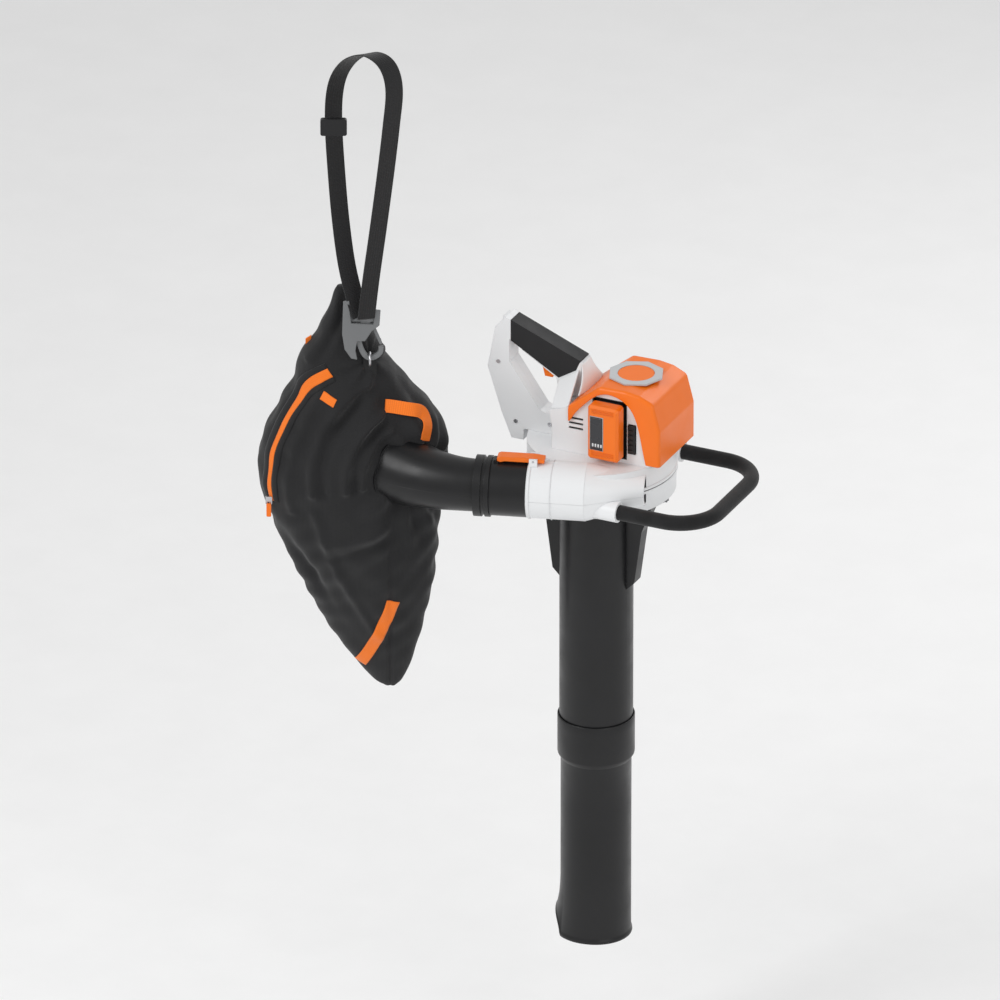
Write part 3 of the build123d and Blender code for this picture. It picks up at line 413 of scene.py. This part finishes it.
def cuff_arc(radius, start=118, end=190):
    """Crease that curves round the cuff: radius and angles in metres and degrees, from across towards up."""
    turn = np.radians(np.linspace(start, end, 24))
    return np.stack([CUFF_ACROSS + radius * np.cos(turn), CUFF_HEIGHT + radius * np.sin(turn)], -1)


def beside_edge(inset, low, high):
    """Crease that follows the bag's outer edge at an inset, between two heights."""
    height = np.linspace(low, high, 24)
    return np.stack([bag_outline(height)[0] + inset, height], -1)


def straight(across_1, height_1, across_2, height_2):
    """Crease that runs straight between two places."""
    return np.array([(across_1, height_1), (across_2, height_2)])


# Ridges and valleys pressed into the front: depth, half width and line.
CREASES = [
    (0.0070, 0.0085, cuff_arc(0.175)), (-0.0065, 0.0080, cuff_arc(0.158)),
    (0.0065, 0.0070, cuff_arc(0.118)), (-0.0060, 0.0070, cuff_arc(0.105)), (0.0055, 0.0060, cuff_arc(0.090)),
    (0.0050, 0.0110, straight(-0.445, -0.090, -0.355, -0.055)),
    (-0.0040, 0.0090, straight(-0.440, -0.115, -0.355, -0.077)),
    (0.0040, 0.0060, beside_edge(0.010, 0.230, 0.340)), (-0.0050, 0.0070, beside_edge(0.024, 0.230, 0.320)),
    (0.0050, 0.0090, beside_edge(0.085, -0.280, -0.030)), (0.0045, 0.0080, beside_edge(0.048, -0.030, 0.190)),
]


def line_gap(across, height, line):
    """Distance of across and height values from the nearest stretch of a line."""
    start, end = line[:-1], line[1:]
    run = end - start
    place = np.stack([across, height], -1)[..., None, :] - start
    share = np.clip((place * run).sum(-1) / (run * run).sum(-1), 0, 1)
    return np.linalg.norm(place - share[..., None] * run, axis=-1).min(-1)


def bag_surface(height, turn, proud=0.0):
    """Point of the bag at a height and an angle round it, proud of the cloth by a distance.

    The section is a flattened round, sharper at its two side seams; creases run as waves across it:
    puckers that radiate from the cuff and from the strap ring, long drag folds from the ring to the
    bottom, and a pulled-in seam up the front.
    """
    left, right, depth = bag_outline(height)
    middle, half = (left + right) / 2, (right - left) / 2
    c, s = np.cos(turn), np.sin(turn)
    across = middle + half * c * (0.94 + 0.06 * np.abs(c))
    away = BAG_DEPTH + depth * np.sign(s) * np.abs(s) ** 0.86
    base = bag_place(across, away, height)
    normal = unit(c[..., None] * ACROSS / np.maximum(half, 0.004)[..., None]
                  + s[..., None] * AWAY / np.maximum(depth, 0.004)[..., None])
    body = np.clip(depth / 0.08, 0, 1)
    slack = (0.0042 * ripples(base * (1, 1, 0.7), 0.16, 7, 3)
             + 0.0016 * ripples(base * (1, 1, 1.3), 0.055, 9, 5))
    # Puckers radiate from the cuff: waves round it that fade with distance.
    reach = base - ELBOW_END - END_HEADING * 0.02
    flat = reach - (reach @ END_HEADING)[..., None] * END_HEADING
    away_from_cuff = np.linalg.norm(flat, axis=-1)
    side = unit(np.cross(END_HEADING, UP))
    clock = np.arctan2(flat @ UP, flat @ side)
    fade = np.exp(-((away_from_cuff - 0.085) / 0.075) ** 2)
    pucker = 0.0048 * np.clip(-4 * s, 0, 1) * fade * np.sin(clock * 11 + 3.0 * ripples(base, 0.3, 5, 11))
    # Drag folds hang from the strap ring.
    ring = bag_place(np.array(-0.377), np.array(-0.03), np.array(0.235))
    from_ring = base - ring
    fan = np.arctan2(from_ring @ ACROSS, -(from_ring @ UP))
    drop = np.linalg.norm(from_ring, axis=-1)
    drag = 0.0050 * np.exp(-((drop - 0.11) / 0.11) ** 2) * np.sin(fan * 9 + 0.8 + drop * 12)
    # Pocket fold low on the outer side.
    pocket_a, pocket_h = across + 0.500, height + 0.150
    pocket_line = pocket_a * 0.8 + pocket_h * 0.45 - 0.010
    fold = -0.016 * np.exp(-(pocket_line / 0.012) ** 2) * np.exp(-(pocket_h / 0.055) ** 2)
    # Front seam, stitched tight, below the duct.
    low_front = (s < 0) * np.clip((-0.06 - height) / 0.03, 0, 1)
    seam = -0.0030 * np.exp(-((across + 0.345) / 0.0035) ** 2) * low_front
    front = np.clip(-4 * s, 0, 1)
    pressed = sum(depth * np.exp(-(line_gap(across, height, line) / width) ** 2)
                  for depth, width, line in CREASES)
    relief = body * (slack + pucker + drag) + fold * (s < 0) + seam + front * pressed + proud
    return base + normal * relief[..., None]


def build_bag():
    """The bag as one closed skin of rings from its foot to its shoulder."""
    rows, columns = 300, 260
    share = np.linspace(0, 1, rows)
    height = BAG_ROWS[0, 0] + (BAG_ROWS[-1, 0] - BAG_ROWS[0, 0]) * (share + 0.03 * np.sin(2 * np.pi * share))
    turn = np.linspace(0, 2 * np.pi, columns, endpoint=False)
    grid_height, grid_turn = np.meshgrid(height, turn, indexing="ij")
    points = bag_surface(grid_height, grid_turn)
    return outward(surface("catcher_bag_cloth", points, wrap_columns=True, caps=True))


bag_cloth = build_bag()
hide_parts("catcher_bag")


def on_front(across, height, proud=0.0):
    """Points on the bag's front: c (0.94 + 0.06 |c|) = offset from the middle is solved for c = cos(turn)."""
    left, right, _ = bag_outline(height)
    offset = np.clip((across - (left + right) / 2) / ((right - left) / 2), -1, 1)
    root = (np.sqrt(0.94 ** 2 + 0.24 * np.abs(offset)) - 0.94) / 0.12
    turns = 2 * np.pi - np.arccos(np.sign(offset) * np.clip(root, 0, 1))
    return bag_surface(np.asarray(height, float), turns, proud)


def laid_strip(name, line, width, count, thickness, proud=0.001, crown=0.0, points_wide=7, taper=None):
    """Band laid on the bag's front along a line of across and height values."""
    centre, length = even_line(line, count)
    along = unit(np.gradient(centre, axis=0))
    beside = np.stack([-along[:, 1], along[:, 0]], -1)
    spread = np.linspace(-0.5, 0.5, points_wide)
    wide = width * (np.ones(count) if taper is None else np.interp(np.linspace(0, 1, count), *taper))
    plan = centre[:, None, :] + beside[:, None, :] * spread[None, :, None] * wide[:, None, None]
    lift = crown * (1 - (2 * spread) ** 2)
    points = on_front(plan[..., 0], plan[..., 1], 0.0)
    above = on_front(plan[..., 0], plan[..., 1], 0.01)
    normal = unit(above - points)
    points = points + normal * (proud + lift)[None, :, None]
    u = np.linspace(0, length, count)[:, None] * np.ones(points_wide)
    v = spread[None, :] * width * np.ones(count)[:, None]
    band = surface(name, points, uv=np.stack([u, v], -1))
    return thicken(band, thickness, offset=1.0)


# Zip channel: an orange tape that opens wider at its top, between two black lips.
# It runs 20 mm inside the bag's outer edge and swings 30 mm further in over its top.
zip_height = np.linspace(0.215, -0.020, 40)
zip_inset = 0.020 + 0.030 * np.clip((zip_height - 0.170) / 0.045, 0, 1) ** 2
ZIP_LINE = np.stack([bag_outline(zip_height)[0] + zip_inset, zip_height], -1)
zip_tape = laid_strip("bag_zip_tape", ZIP_LINE, 0.016, 120, 0.0012, proud=0.0012,
                      taper=([0, 0.12, 0.4, 1], [1.0, 0.9, 0.42, 0.3]))
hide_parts("bag_zip")
zip_centre, _ = even_line(ZIP_LINE, 60)
zip_beside = unit(np.gradient(zip_centre, axis=0)) @ np.array([[0, 1], [-1, 0]])
zip_half = 0.008 * np.interp(np.linspace(0, 1, 60), [0, 0.12, 0.4, 1], [1.0, 0.9, 0.42, 0.3])
for side, name in ((-1, "bag_zip_lip_outer"), (1, "bag_zip_lip_inner")):
    lip_line = zip_centre + side * zip_beside * (zip_half + 0.0040)[:, None]
    lip = laid_strip(name, lip_line, 0.0085, 120, 0.0018, proud=0.0006, crown=0.0016)

STRIPE_TOP, STRIPE_FOOT = np.array([-0.340, -0.200]), np.array([-0.395, -0.340])
stripe_share = np.linspace(0, 1, 12)[:, None]
stripe_bow = np.array([0.004, -0.002]) * np.sin(np.pi * stripe_share)
STRIPE_LINE = STRIPE_TOP + (STRIPE_FOOT - STRIPE_TOP) * stripe_share + stripe_bow
stripe = laid_strip("bag_orange_stripe", STRIPE_LINE, 0.021, 60, 0.0010, proud=0.0012)
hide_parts("bag_stripe")

BADGE_MIDDLE, BADGE_LENGTH, BADGE_SLANT = np.array([-0.445, 0.175]), 0.024, np.radians(-26)
badge_along = np.array([np.cos(BADGE_SLANT), np.sin(BADGE_SLANT)])
BADGE_LINE = BADGE_MIDDLE + badge_along * np.array([-0.5, 0, 0.5])[:, None] * BADGE_LENGTH
badge_patch = laid_strip("bag_plain_badge", BADGE_LINE, 0.014, 16, 0.0012, proud=0.0012)


def bag_path(points, count):
    """Evenly spaced points in the machine's frame along across, away and height values."""
    line, length = even_line(points, count)
    return bag_place(line[:, 0], line[:, 1], line[:, 2]), length


def ribbon(name, centre, width_direction, width, thickness, length, edge=0.12):
    """Webbing along a path: flat across its width direction, with rounded selvedges."""
    count = len(centre)
    tangent = unit(np.gradient(centre, axis=0))
    across = np.broadcast_to(np.asarray(width_direction, float), centre.shape)
    across = unit(across - (across * tangent).sum(-1, keepdims=True) * tangent)
    face = np.cross(tangent, across)
    turn = np.linspace(0, 2 * np.pi, 29)[:-1]
    flat = np.sign(np.cos(turn)) * np.abs(np.cos(turn)) ** edge
    thick = np.sign(np.sin(turn)) * np.abs(np.sin(turn)) ** 0.5
    points = (centre[:, None, :] + across[:, None, :] * flat[None, :, None] * width / 2
              + face[:, None, :] * thick[None, :, None] * thickness / 2)
    u = np.linspace(0, length, count)[:, None] * np.ones(len(turn))
    v = (flat * width / 2)[None, :] * np.ones(count)[:, None]
    return outward(surface(name, points, wrap_columns=True, caps=True, uv=np.stack([u, v], -1)))


# Shoulder strap: up the far arm, over the top and down the near arm, one long loop of webbing.
STRAP_LINE = [(-0.392, -0.036, 0.322), (-0.4015, -0.030, 0.352), (-0.4155, -0.014, 0.410),
              (-0.4260, 0.004, 0.490), (-0.4335, 0.015, 0.588), (-0.4365, 0.018, 0.655),
              (-0.4345, 0.017, 0.706), (-0.4255, 0.010, 0.745), (-0.4065, -0.006, 0.778),
              (-0.3800, -0.028, 0.7985), (-0.3560, -0.050, 0.7985), (-0.3410, -0.066, 0.7820),
              (-0.3355, -0.074, 0.7480), (-0.3405, -0.076, 0.690), (-0.3490, -0.072, 0.610),
              (-0.3620, -0.062, 0.500), (-0.3745, -0.052, 0.400), (-0.3830, -0.046, 0.322)]
WEBBING_WIDTH, WEBBING_THICKNESS = 0.0305, 0.0022
strap_centre, strap_length = bag_path(STRAP_LINE, 420)
strap_across = ACROSS * 0.94 + AWAY * 0.34
strap = ribbon("shoulder_strap_webbing", strap_centre, strap_across, WEBBING_WIDTH, WEBBING_THICKNESS,
               strap_length)
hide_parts("shoulder_strap")

# Carry loop: a short band that arches off the bag above the duct.
# Its plan is an arc of 55 mm radius from 93 degrees to -5 degrees about a point above the cuff.
loop_turn = np.radians(np.linspace(93, -5, 30))
LOOP_LINE = np.stack([-0.345 + 0.055 * np.cos(loop_turn), 0.100 + 0.055 * np.sin(loop_turn)], -1)
loop_plan, loop_length = even_line(LOOP_LINE, 60)
loop_share = np.linspace(0, 1, 60)
loop_foot = on_front(loop_plan[:, 0], loop_plan[:, 1], 0.0015)
loop_normal = unit(on_front(loop_plan[:, 0], loop_plan[:, 1], 0.0115) - loop_foot)
loop_centre = loop_foot + loop_normal * (0.013 * np.sin(np.pi * loop_share) ** 0.8)[:, None]
loop_tangent = unit(np.gradient(loop_centre, axis=0))
loop_flat = unit(np.cross(loop_tangent, loop_normal))
roll = np.interp(loop_share, [0, 0.25, 0.5, 1], [0.7, 0.3, 0.0, 0.0])[:, None]
loop_across = loop_flat * np.cos(roll) + loop_normal * np.sin(roll)
LOOP_WIDTH, LOOP_THICKNESS = 0.0225, 0.0022
carry_loop = ribbon("bag_carry_loop", loop_centre, loop_across, LOOP_WIDTH, LOOP_THICKNESS, loop_length)
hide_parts("carry_loop")


def ring_round(name, centre, direction, profile, columns=160):
    """Closed ring: a profile of (along, radius) points turned round an axis."""
    direction = unit(np.asarray(direction, float))
    side = unit(np.cross(direction, UP)) if abs(direction[2]) < 0.9 else np.array([1.0, 0, 0])
    top = np.cross(side, direction)
    turn = np.linspace(0, 2 * np.pi, columns, endpoint=False)
    profile = np.asarray(profile, float)
    radius = profile[:, 1][:, None] * np.ones(columns)
    spoke = (side[None, None, :] * np.cos(turn)[None, :, None]
             + top[None, None, :] * np.sin(turn)[None, :, None])
    points = (np.asarray(centre)[None, None, :] + direction * profile[:, 0][:, None, None]
              + spoke * radius[..., None])
    return outward(surface(name, points, wrap_rows=True, wrap_columns=True))


# ---------------------------------------------------------------- fabric finishes

def woven(name, colour, pitch, depth, sheen=0.25, mottle=0.35):
    """Plain weave seen as crossed threads along the bag's own across and up directions."""
    finish = Finish(name, colour, 0.78, Sheen_Weight=sheen, Sheen_Roughness=0.45, Specular_IOR_Level=0.35)
    turned = finish.node("ShaderNodeMapping")
    turned.inputs["Rotation"].default_value = (0, 0, -BAG_TURN)
    finish.link(finish.place, turned.inputs["Vector"])
    threads = []
    for direction in ("X", "Z"):
        wave = finish.node("ShaderNodeTexWave", wave_type="BANDS", bands_direction=direction,
                           wave_profile="SIN")
        wave.inputs["Scale"].default_value = 0.314 / pitch
        wave.inputs["Distortion"].default_value = 0.6
        wave.inputs["Detail"].default_value = 1.0
        wave.inputs["Detail Scale"].default_value = 2.0
        finish.link(turned.outputs["Vector"], wave.inputs["Vector"])
        threads.append(wave.outputs["Fac"])
    cloth = finish.math("MULTIPLY", threads[0], threads[1])
    cloud = finish.math("MULTIPLY", finish.noise(14.0, 5.0), 0.9)
    tone = finish.math("ADD", finish.math("MULTIPLY", cloth, 0.55), cloud)
    finish.blend_colour(finish.math("MINIMUM", tone, 1.0),
                        shade(colour, 1 - mottle), shade(colour, 1 + 2.2 * mottle))
    finish.bump(cloth, 0.7, depth)
    finish.bump(finish.noise(900.0, 3.0), 0.25, depth * 0.5)
    return finish.material


def webbed(name, colour, pitch, depth, mottle=0.2):
    """Ribbed webbing read from the band's own length and width."""
    finish = Finish(name, colour, 0.62, Sheen_Weight=0.2, Sheen_Roughness=0.4, Specular_IOR_Level=0.4)
    run = finish.node("ShaderNodeTexCoord").outputs["UV"]
    ribs = finish.node("ShaderNodeTexWave", wave_type="BANDS", bands_direction="X", wave_profile="SIN")
    ribs.inputs["Scale"].default_value = 0.314 / pitch
    ribs.inputs["Distortion"].default_value = 1.2
    ribs.inputs["Detail"].default_value = 2.0
    ribs.inputs["Detail Scale"].default_value = 1.5
    finish.link(run, ribs.inputs["Vector"])
    cords = finish.node("ShaderNodeTexWave", wave_type="BANDS", bands_direction="Y", wave_profile="SIN")
    cords.inputs["Scale"].default_value = 0.314 / (pitch * 1.6)
    finish.link(run, cords.inputs["Vector"])
    cord_height = finish.math("ADD", finish.math("MULTIPLY", cords.outputs["Fac"], 0.5), 0.5)
    weave = finish.math("MULTIPLY", ribs.outputs["Fac"], cord_height)
    finish.blend_colour(weave, shade(colour, 1 - mottle), shade(colour, 1 + 1.6 * mottle))
    finish.bump(weave, 0.8, depth)
    return finish.material


def foamed(name, colour):
    """Closed-cell foam: fine pits of two sizes."""
    finish = Finish(name, colour, 0.80, Specular_IOR_Level=0.3, Sheen_Weight=0.12, Sheen_Roughness=0.5)
    finish.blend_colour(finish.spread(finish.noise(40.0, 6.0), 0, 1), shade(colour, 0.7), shade(colour, 1.5))
    finish.bump(finish.noise(650.0, 4.0, 0.7), 0.6, 0.0004)
    finish.bump(finish.noise(2400.0, 2.0), 0.4, 0.00012)
    return finish.material


bag_weave = woven("black_woven_polyester", (0.0085, 0.0085, 0.0092), 0.0021, 0.0005, sheen=0.12)
black_webbing = webbed("black_ribbed_webbing", (0.0078, 0.0078, 0.0085), 0.0026, 0.0007)
orange_tape = webbed("orange_ribbed_tape", (0.92, 0.185, 0.006), 0.0018, 0.0003, mottle=0.1)
handle_foam = foamed("black_handle_foam", (0.009, 0.009, 0.0095))


def dress(material, *pieces):
    """Give pieces one material each."""
    for piece in pieces:
        piece.data.materials.clear()
        piece.data.materials.append(material)


def made(*names):
    """Pieces made in this script, by name."""
    return [bpy.data.objects[name] for name in names]


dress(bag_weave, *made("catcher_bag_cloth", "bag_zip_lip_outer", "bag_zip_lip_inner"),
      frame["nodes"]["bag_cuff"])
dress(orange_tape, *made("bag_zip_tape", "bag_orange_stripe", "bag_plain_badge", "bag_carry_loop"))
dress(black_webbing, *made("shoulder_strap_webbing"), frame["nodes"]["ring_tab"])
dress(handle_foam, frame["nodes"]["front_handle_foam"])

# ---------------------------------------------------------------- suction tube mouth

TUBE_RADIUS = 0.0595  # outer radius of the straight wall
DROP = 0.046  # how far the mouth hangs below the tube's own end
ARCH_HALF = 0.044  # half width of the arch behind the mouth
BLEND_LEVEL = 0.060  # the wall is straight above this height


def tube_wall_grid(profile, columns=220):
    """Profile of (height, radius, flare) turned round the tube's axis.

    The mouth's rim rises behind as an arch, |y| < a: z = -drop + (drop - 4 mm) sqrt(1 - (y/a)^2), and every
    height below 60 mm is squeezed towards that rim.
    """
    turn = np.linspace(0, 2 * np.pi, columns, endpoint=False)
    profile = np.asarray(profile, float)
    height, radius, flare = (profile[:, k][:, None] for k in range(3))
    y = TUBE_RADIUS * np.sin(turn)
    inside = np.clip(1 - (y / ARCH_HALF) ** 2, 0, 1) * (np.cos(turn) < 0)
    rim = -DROP + (DROP - 0.004) * np.sqrt(inside)
    share = np.clip((BLEND_LEVEL - height) / (BLEND_LEVEL + DROP), 0, 1)
    z = np.where(height < BLEND_LEVEL, BLEND_LEVEL + (rim[None, :] - BLEND_LEVEL) * share, height + 0 * turn)
    lean = 0.0065 * np.clip(-np.cos(turn - 0.35), 0, 1) ** 2
    wide = radius + flare * lean[None, :]
    return np.stack([wide * np.cos(turn), wide * np.sin(turn), z], -1)


lower_profile = [(0.3105, 0.0570, 0), (0.3165, 0.0622, 0), (0.340, 0.0622, 0), (0.360, 0.0622, 0),
                 (0.3620, 0.0632, 0), (0.3618, 0.0645, 0), (0.3605, 0.06505, 0), (0.345, 0.06505, 0),
                 (0.320, 0.06505, 0), (0.293, 0.06505, 0), (0.2905, 0.0646, 0), (0.2835, 0.0602, 0),
                 (0.282, 0.0595, 0), (0.20, 0.0595, 0), (0.12, 0.0595, 0), (0.06, 0.0595, 0),
                 (0.03, 0.0595, 0.1), (0.0, 0.0595, 0.35), (-0.020, 0.0595, 0.7), (-0.0350, 0.0596, 1),
                 (-0.0385, 0.0602, 1), (-0.0400, 0.0612, 1), (-0.0435, 0.0616, 1), (-0.0455, 0.0610, 1),
                 (-0.0460, 0.0596, 1), (-0.0450, 0.0578, 1), (-0.03, 0.0572, 1), (0.0, 0.0571, 0.35),
                 (0.06, 0.0570, 0), (0.15, 0.0570, 0), (0.25, 0.0570, 0)]
lower_tube = outward(surface("suction_tube_flared_mouth", tube_wall_grid(lower_profile), wrap_rows=True,
                             wrap_columns=True))
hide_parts("suction_tube_lower")
dress(black_plastic, lower_tube)


def flat_plate(name, outline, thickness, normal, body="machine"):
    """Thin plate: an outline of points fanned to its middle and rounded at its rim."""
    outline = np.asarray(outline, float)
    middle = outline.mean(0)
    normal = unit(np.asarray(normal, float))
    rings = [(0.0, 0.02), (0.0, 0.9), (0.0, 1.0), (0.35, 1.0),
             (0.85, 0.985), (1.0, 0.95), (1.0, 0.6), (1.0, 0.02)]
    points = np.stack([middle + (outline - middle) * size + normal * level * thickness
                       for level, size in rings])
    return outward(surface(name, points, wrap_columns=True, caps=True, body=body))


def slab(name, corners, thickness, normal, material, body="machine"):
    """Plate with straight edges, each filled with points so that its corners stay crisp."""
    corners = np.asarray(corners, float)
    steps = np.linspace(0, 1, 9)[:-1, None]
    outline = np.vstack([a + (b - a) * steps for a, b in zip(corners, np.roll(corners, -1, 0))])
    piece = flat_plate(name, outline, thickness, normal, body=body)
    dress(material, piece)
    return piece


# Neck cheeks: the shroud flares from the handle's neck down to the hood's back edge.
for side, name in ((-1, "neck_cheek_near"), (1, "neck_cheek_far")):
    rows = np.linspace(0, 1, 24)[:, None]
    columns = np.linspace(0, 1, 24)[None, :]
    top_back = np.array([-0.060, side * 0.0182, FLOOR + 0.185])
    top_front = np.array([-0.024, side * 0.0182, FLOOR + 0.210])
    low_back = np.array([-0.0560, side * 0.0655, FLOOR + 0.140])
    low_front = np.array([-0.0215, side * 0.0655, FLOOR + 0.1635])
    edge_top = top_back + (top_front - top_back) * columns[..., None]
    edge_low = low_back + (low_front - low_back) * columns[..., None]
    sheet_points = edge_top + (edge_low - edge_top) * rows[..., None]
    cheek = surface(name, sheet_points)
    thicken(cheek, 0.003, 0.0)
    bevel(cheek, 0.0008, 2, 40)
    dress(white_plastic, cheek)

# Battery face: a rim round a dark label face, text-free indicator bars and grip ribs on both caps.
FACE_Y = -0.0952


def face_corners(left, right, start, end, proud):
    """Corners of an upright rectangle on the battery's face, from level start to level end."""
    y = FACE_Y - proud
    return [(left, y, FLOOR + start), (right, y, FLOOR + start),
            (right, y, FLOOR + end), (left, y, FLOOR + end)]


slab("battery_label_rim", face_corners(0.0310, 0.0555, 0.1705, 0.1085, 0.0),
     0.0005, (0, -1, 0), light_grey_plastic, "battery")
slab("battery_label_face", face_corners(0.0320, 0.0545, 0.1695, 0.1095, 0.0005),
     0.0004, (0, -1, 0), film, "battery")
for step in range(4):
    x = 0.0355 + 0.0050 * step
    slab(f"charge_bar_{step + 1}", face_corners(x, x + 0.0030, 0.1210, 0.1150, 0.0009),
         0.0002, (0, -1, 0), white_plastic, "battery")
for step, low in ((1, 0.1760), (2, 0.1790), (3, 0.1820), (4, 0.0985), (5, 0.1015), (6, 0.1045)):
    slab(f"battery_grip_rib_{step}", face_corners(0.0340, 0.0740, low, low + 0.0014, -0.0002),
         0.0008, (0, -1, 0), orange_plastic, "battery")


def spiral(radius_out, height, count=200):
    """Line round the scroll wall: r = 113 mm + 29 mm * share while the angle falls by 314 degrees."""
    share = np.linspace(0.02, 0.93, count)
    radius = 0.113 + 0.029 * share + radius_out
    angle = HEADING + np.radians(44 - 314 * share)
    return np.stack([radius * np.cos(angle), radius * np.sin(angle), np.full(count, FLOOR + height)], -1)


# Housing rim: two raised lips meet along the parting line; the thin gap between them is a black strip,
# painted shadow.
for name, height, width, material, out in (("housing_rim_upper", 0.0415, 0.0050, white_plastic, 0.0008),
                                           ("housing_rim_lower", 0.0350, 0.0050, white_plastic, 0.0008),
                                           # The black gap strip is painted shadow between the white lips.
                                           ("housing_rim_gap", 0.0382, 0.0020, black_plastic, 0.0002)):
    rim_line = spiral(out, height)
    rim = ribbon(name, rim_line, UP, width, 0.0026, 0.7)
    dress(material, rim)

dress(light_grey_plastic, frame["nodes"]["hood_badge"])

# Hook body: a moulded plate that carries the webbing slot above and tapers to the hook's nose.
HOOK_DEPTH = -0.0375
HOOK_PLATE = [(-0.421, 0.349), (-0.411, 0.351), (-0.408, 0.310), (-0.371, 0.308), (-0.368, 0.334),
              (-0.359, 0.333), (-0.361, 0.306), (-0.374, 0.295), (-0.385, 0.277), (-0.398, 0.277),
              (-0.401, 0.260), (-0.398, 0.243), (-0.408, 0.245), (-0.419, 0.262), (-0.423, 0.290)]


def plate_grid(name, outline, depth, thickness, material, body="machine"):
    """Straight-edged plate facing the front of the bag, from an outline of across and height values."""
    outline = np.array(outline)
    count = len(outline)
    around = np.vstack([outline, outline])
    points = bag_place(around[:, 0], np.repeat([depth, depth + thickness], count), around[:, 1])
    rim = np.stack([np.arange(count), (np.arange(count) + 1) % count, (np.arange(count) + 1) % count + count,
                    np.arange(count) + count], -1).tolist()
    faces = [list(range(count)), list(range(2 * count - 1, count - 1, -1))] + rim
    piece = outward(mesh_object(name, points, faces, body, smooth=False))
    bevel(piece, 0.0009, 3, 30)
    dress(material, piece)
    return piece


plate_grid("strap_hook_body", HOOK_PLATE, HOOK_DEPTH, 0.0055, grey_plastic)
plate_grid("bag_edge_tab", [(-0.4845, 0.2400), (-0.4745, 0.2440), (-0.4745, 0.2570), (-0.4845, 0.2500)],
           BAG_DEPTH - 0.002, 0.004, orange_tape)

# Two raised beads moulded round the outlet duct: one at its mouth, one at its step.
OUTLET_MIDDLE = ASIDE * 0.122 + UP * (FLOOR + 0.040)
for name, reach, radius, width in (("outlet_mouth_bead", 0.0935, 0.0494, 0.0050),
                                   ("outlet_step_bead", 0.0560, 0.0492, 0.0016)):
    profile = [(-width / 2, radius - 0.0010), (-width / 2 + 0.0003, radius + 0.0008), (0.0, radius + 0.0014),
               (width / 2 - 0.0003, radius + 0.0008), (width / 2, radius - 0.0010)]
    bead = ring_round(name, OUTLET_MIDDLE + OUT * reach, OUT, profile)
    dress(white_plastic, bead)

# Neck front: a curved fairing that closes the neck down to the hood's back edge.
down = np.linspace(0, 1, 24)[:, None]
wide = np.linspace(-1, 1, 25)[None, :]
neck_half = 0.0178 + 0.0300 * down ** 1.6
neck_x = -0.0205 + 0.0165 * np.sin(np.pi / 2 * down) * (1 - 0.5 * wide ** 2)
neck_z = FLOOR + 0.2205 - 0.0440 * down + 0 * wide
neck_front = surface("neck_front_fairing", np.stack([neck_x + 0 * wide, neck_half * wide, neck_z], -1))
thicken(neck_front, 0.0025, 0.0)
dress(white_plastic, neck_front)

low, high = cad_box
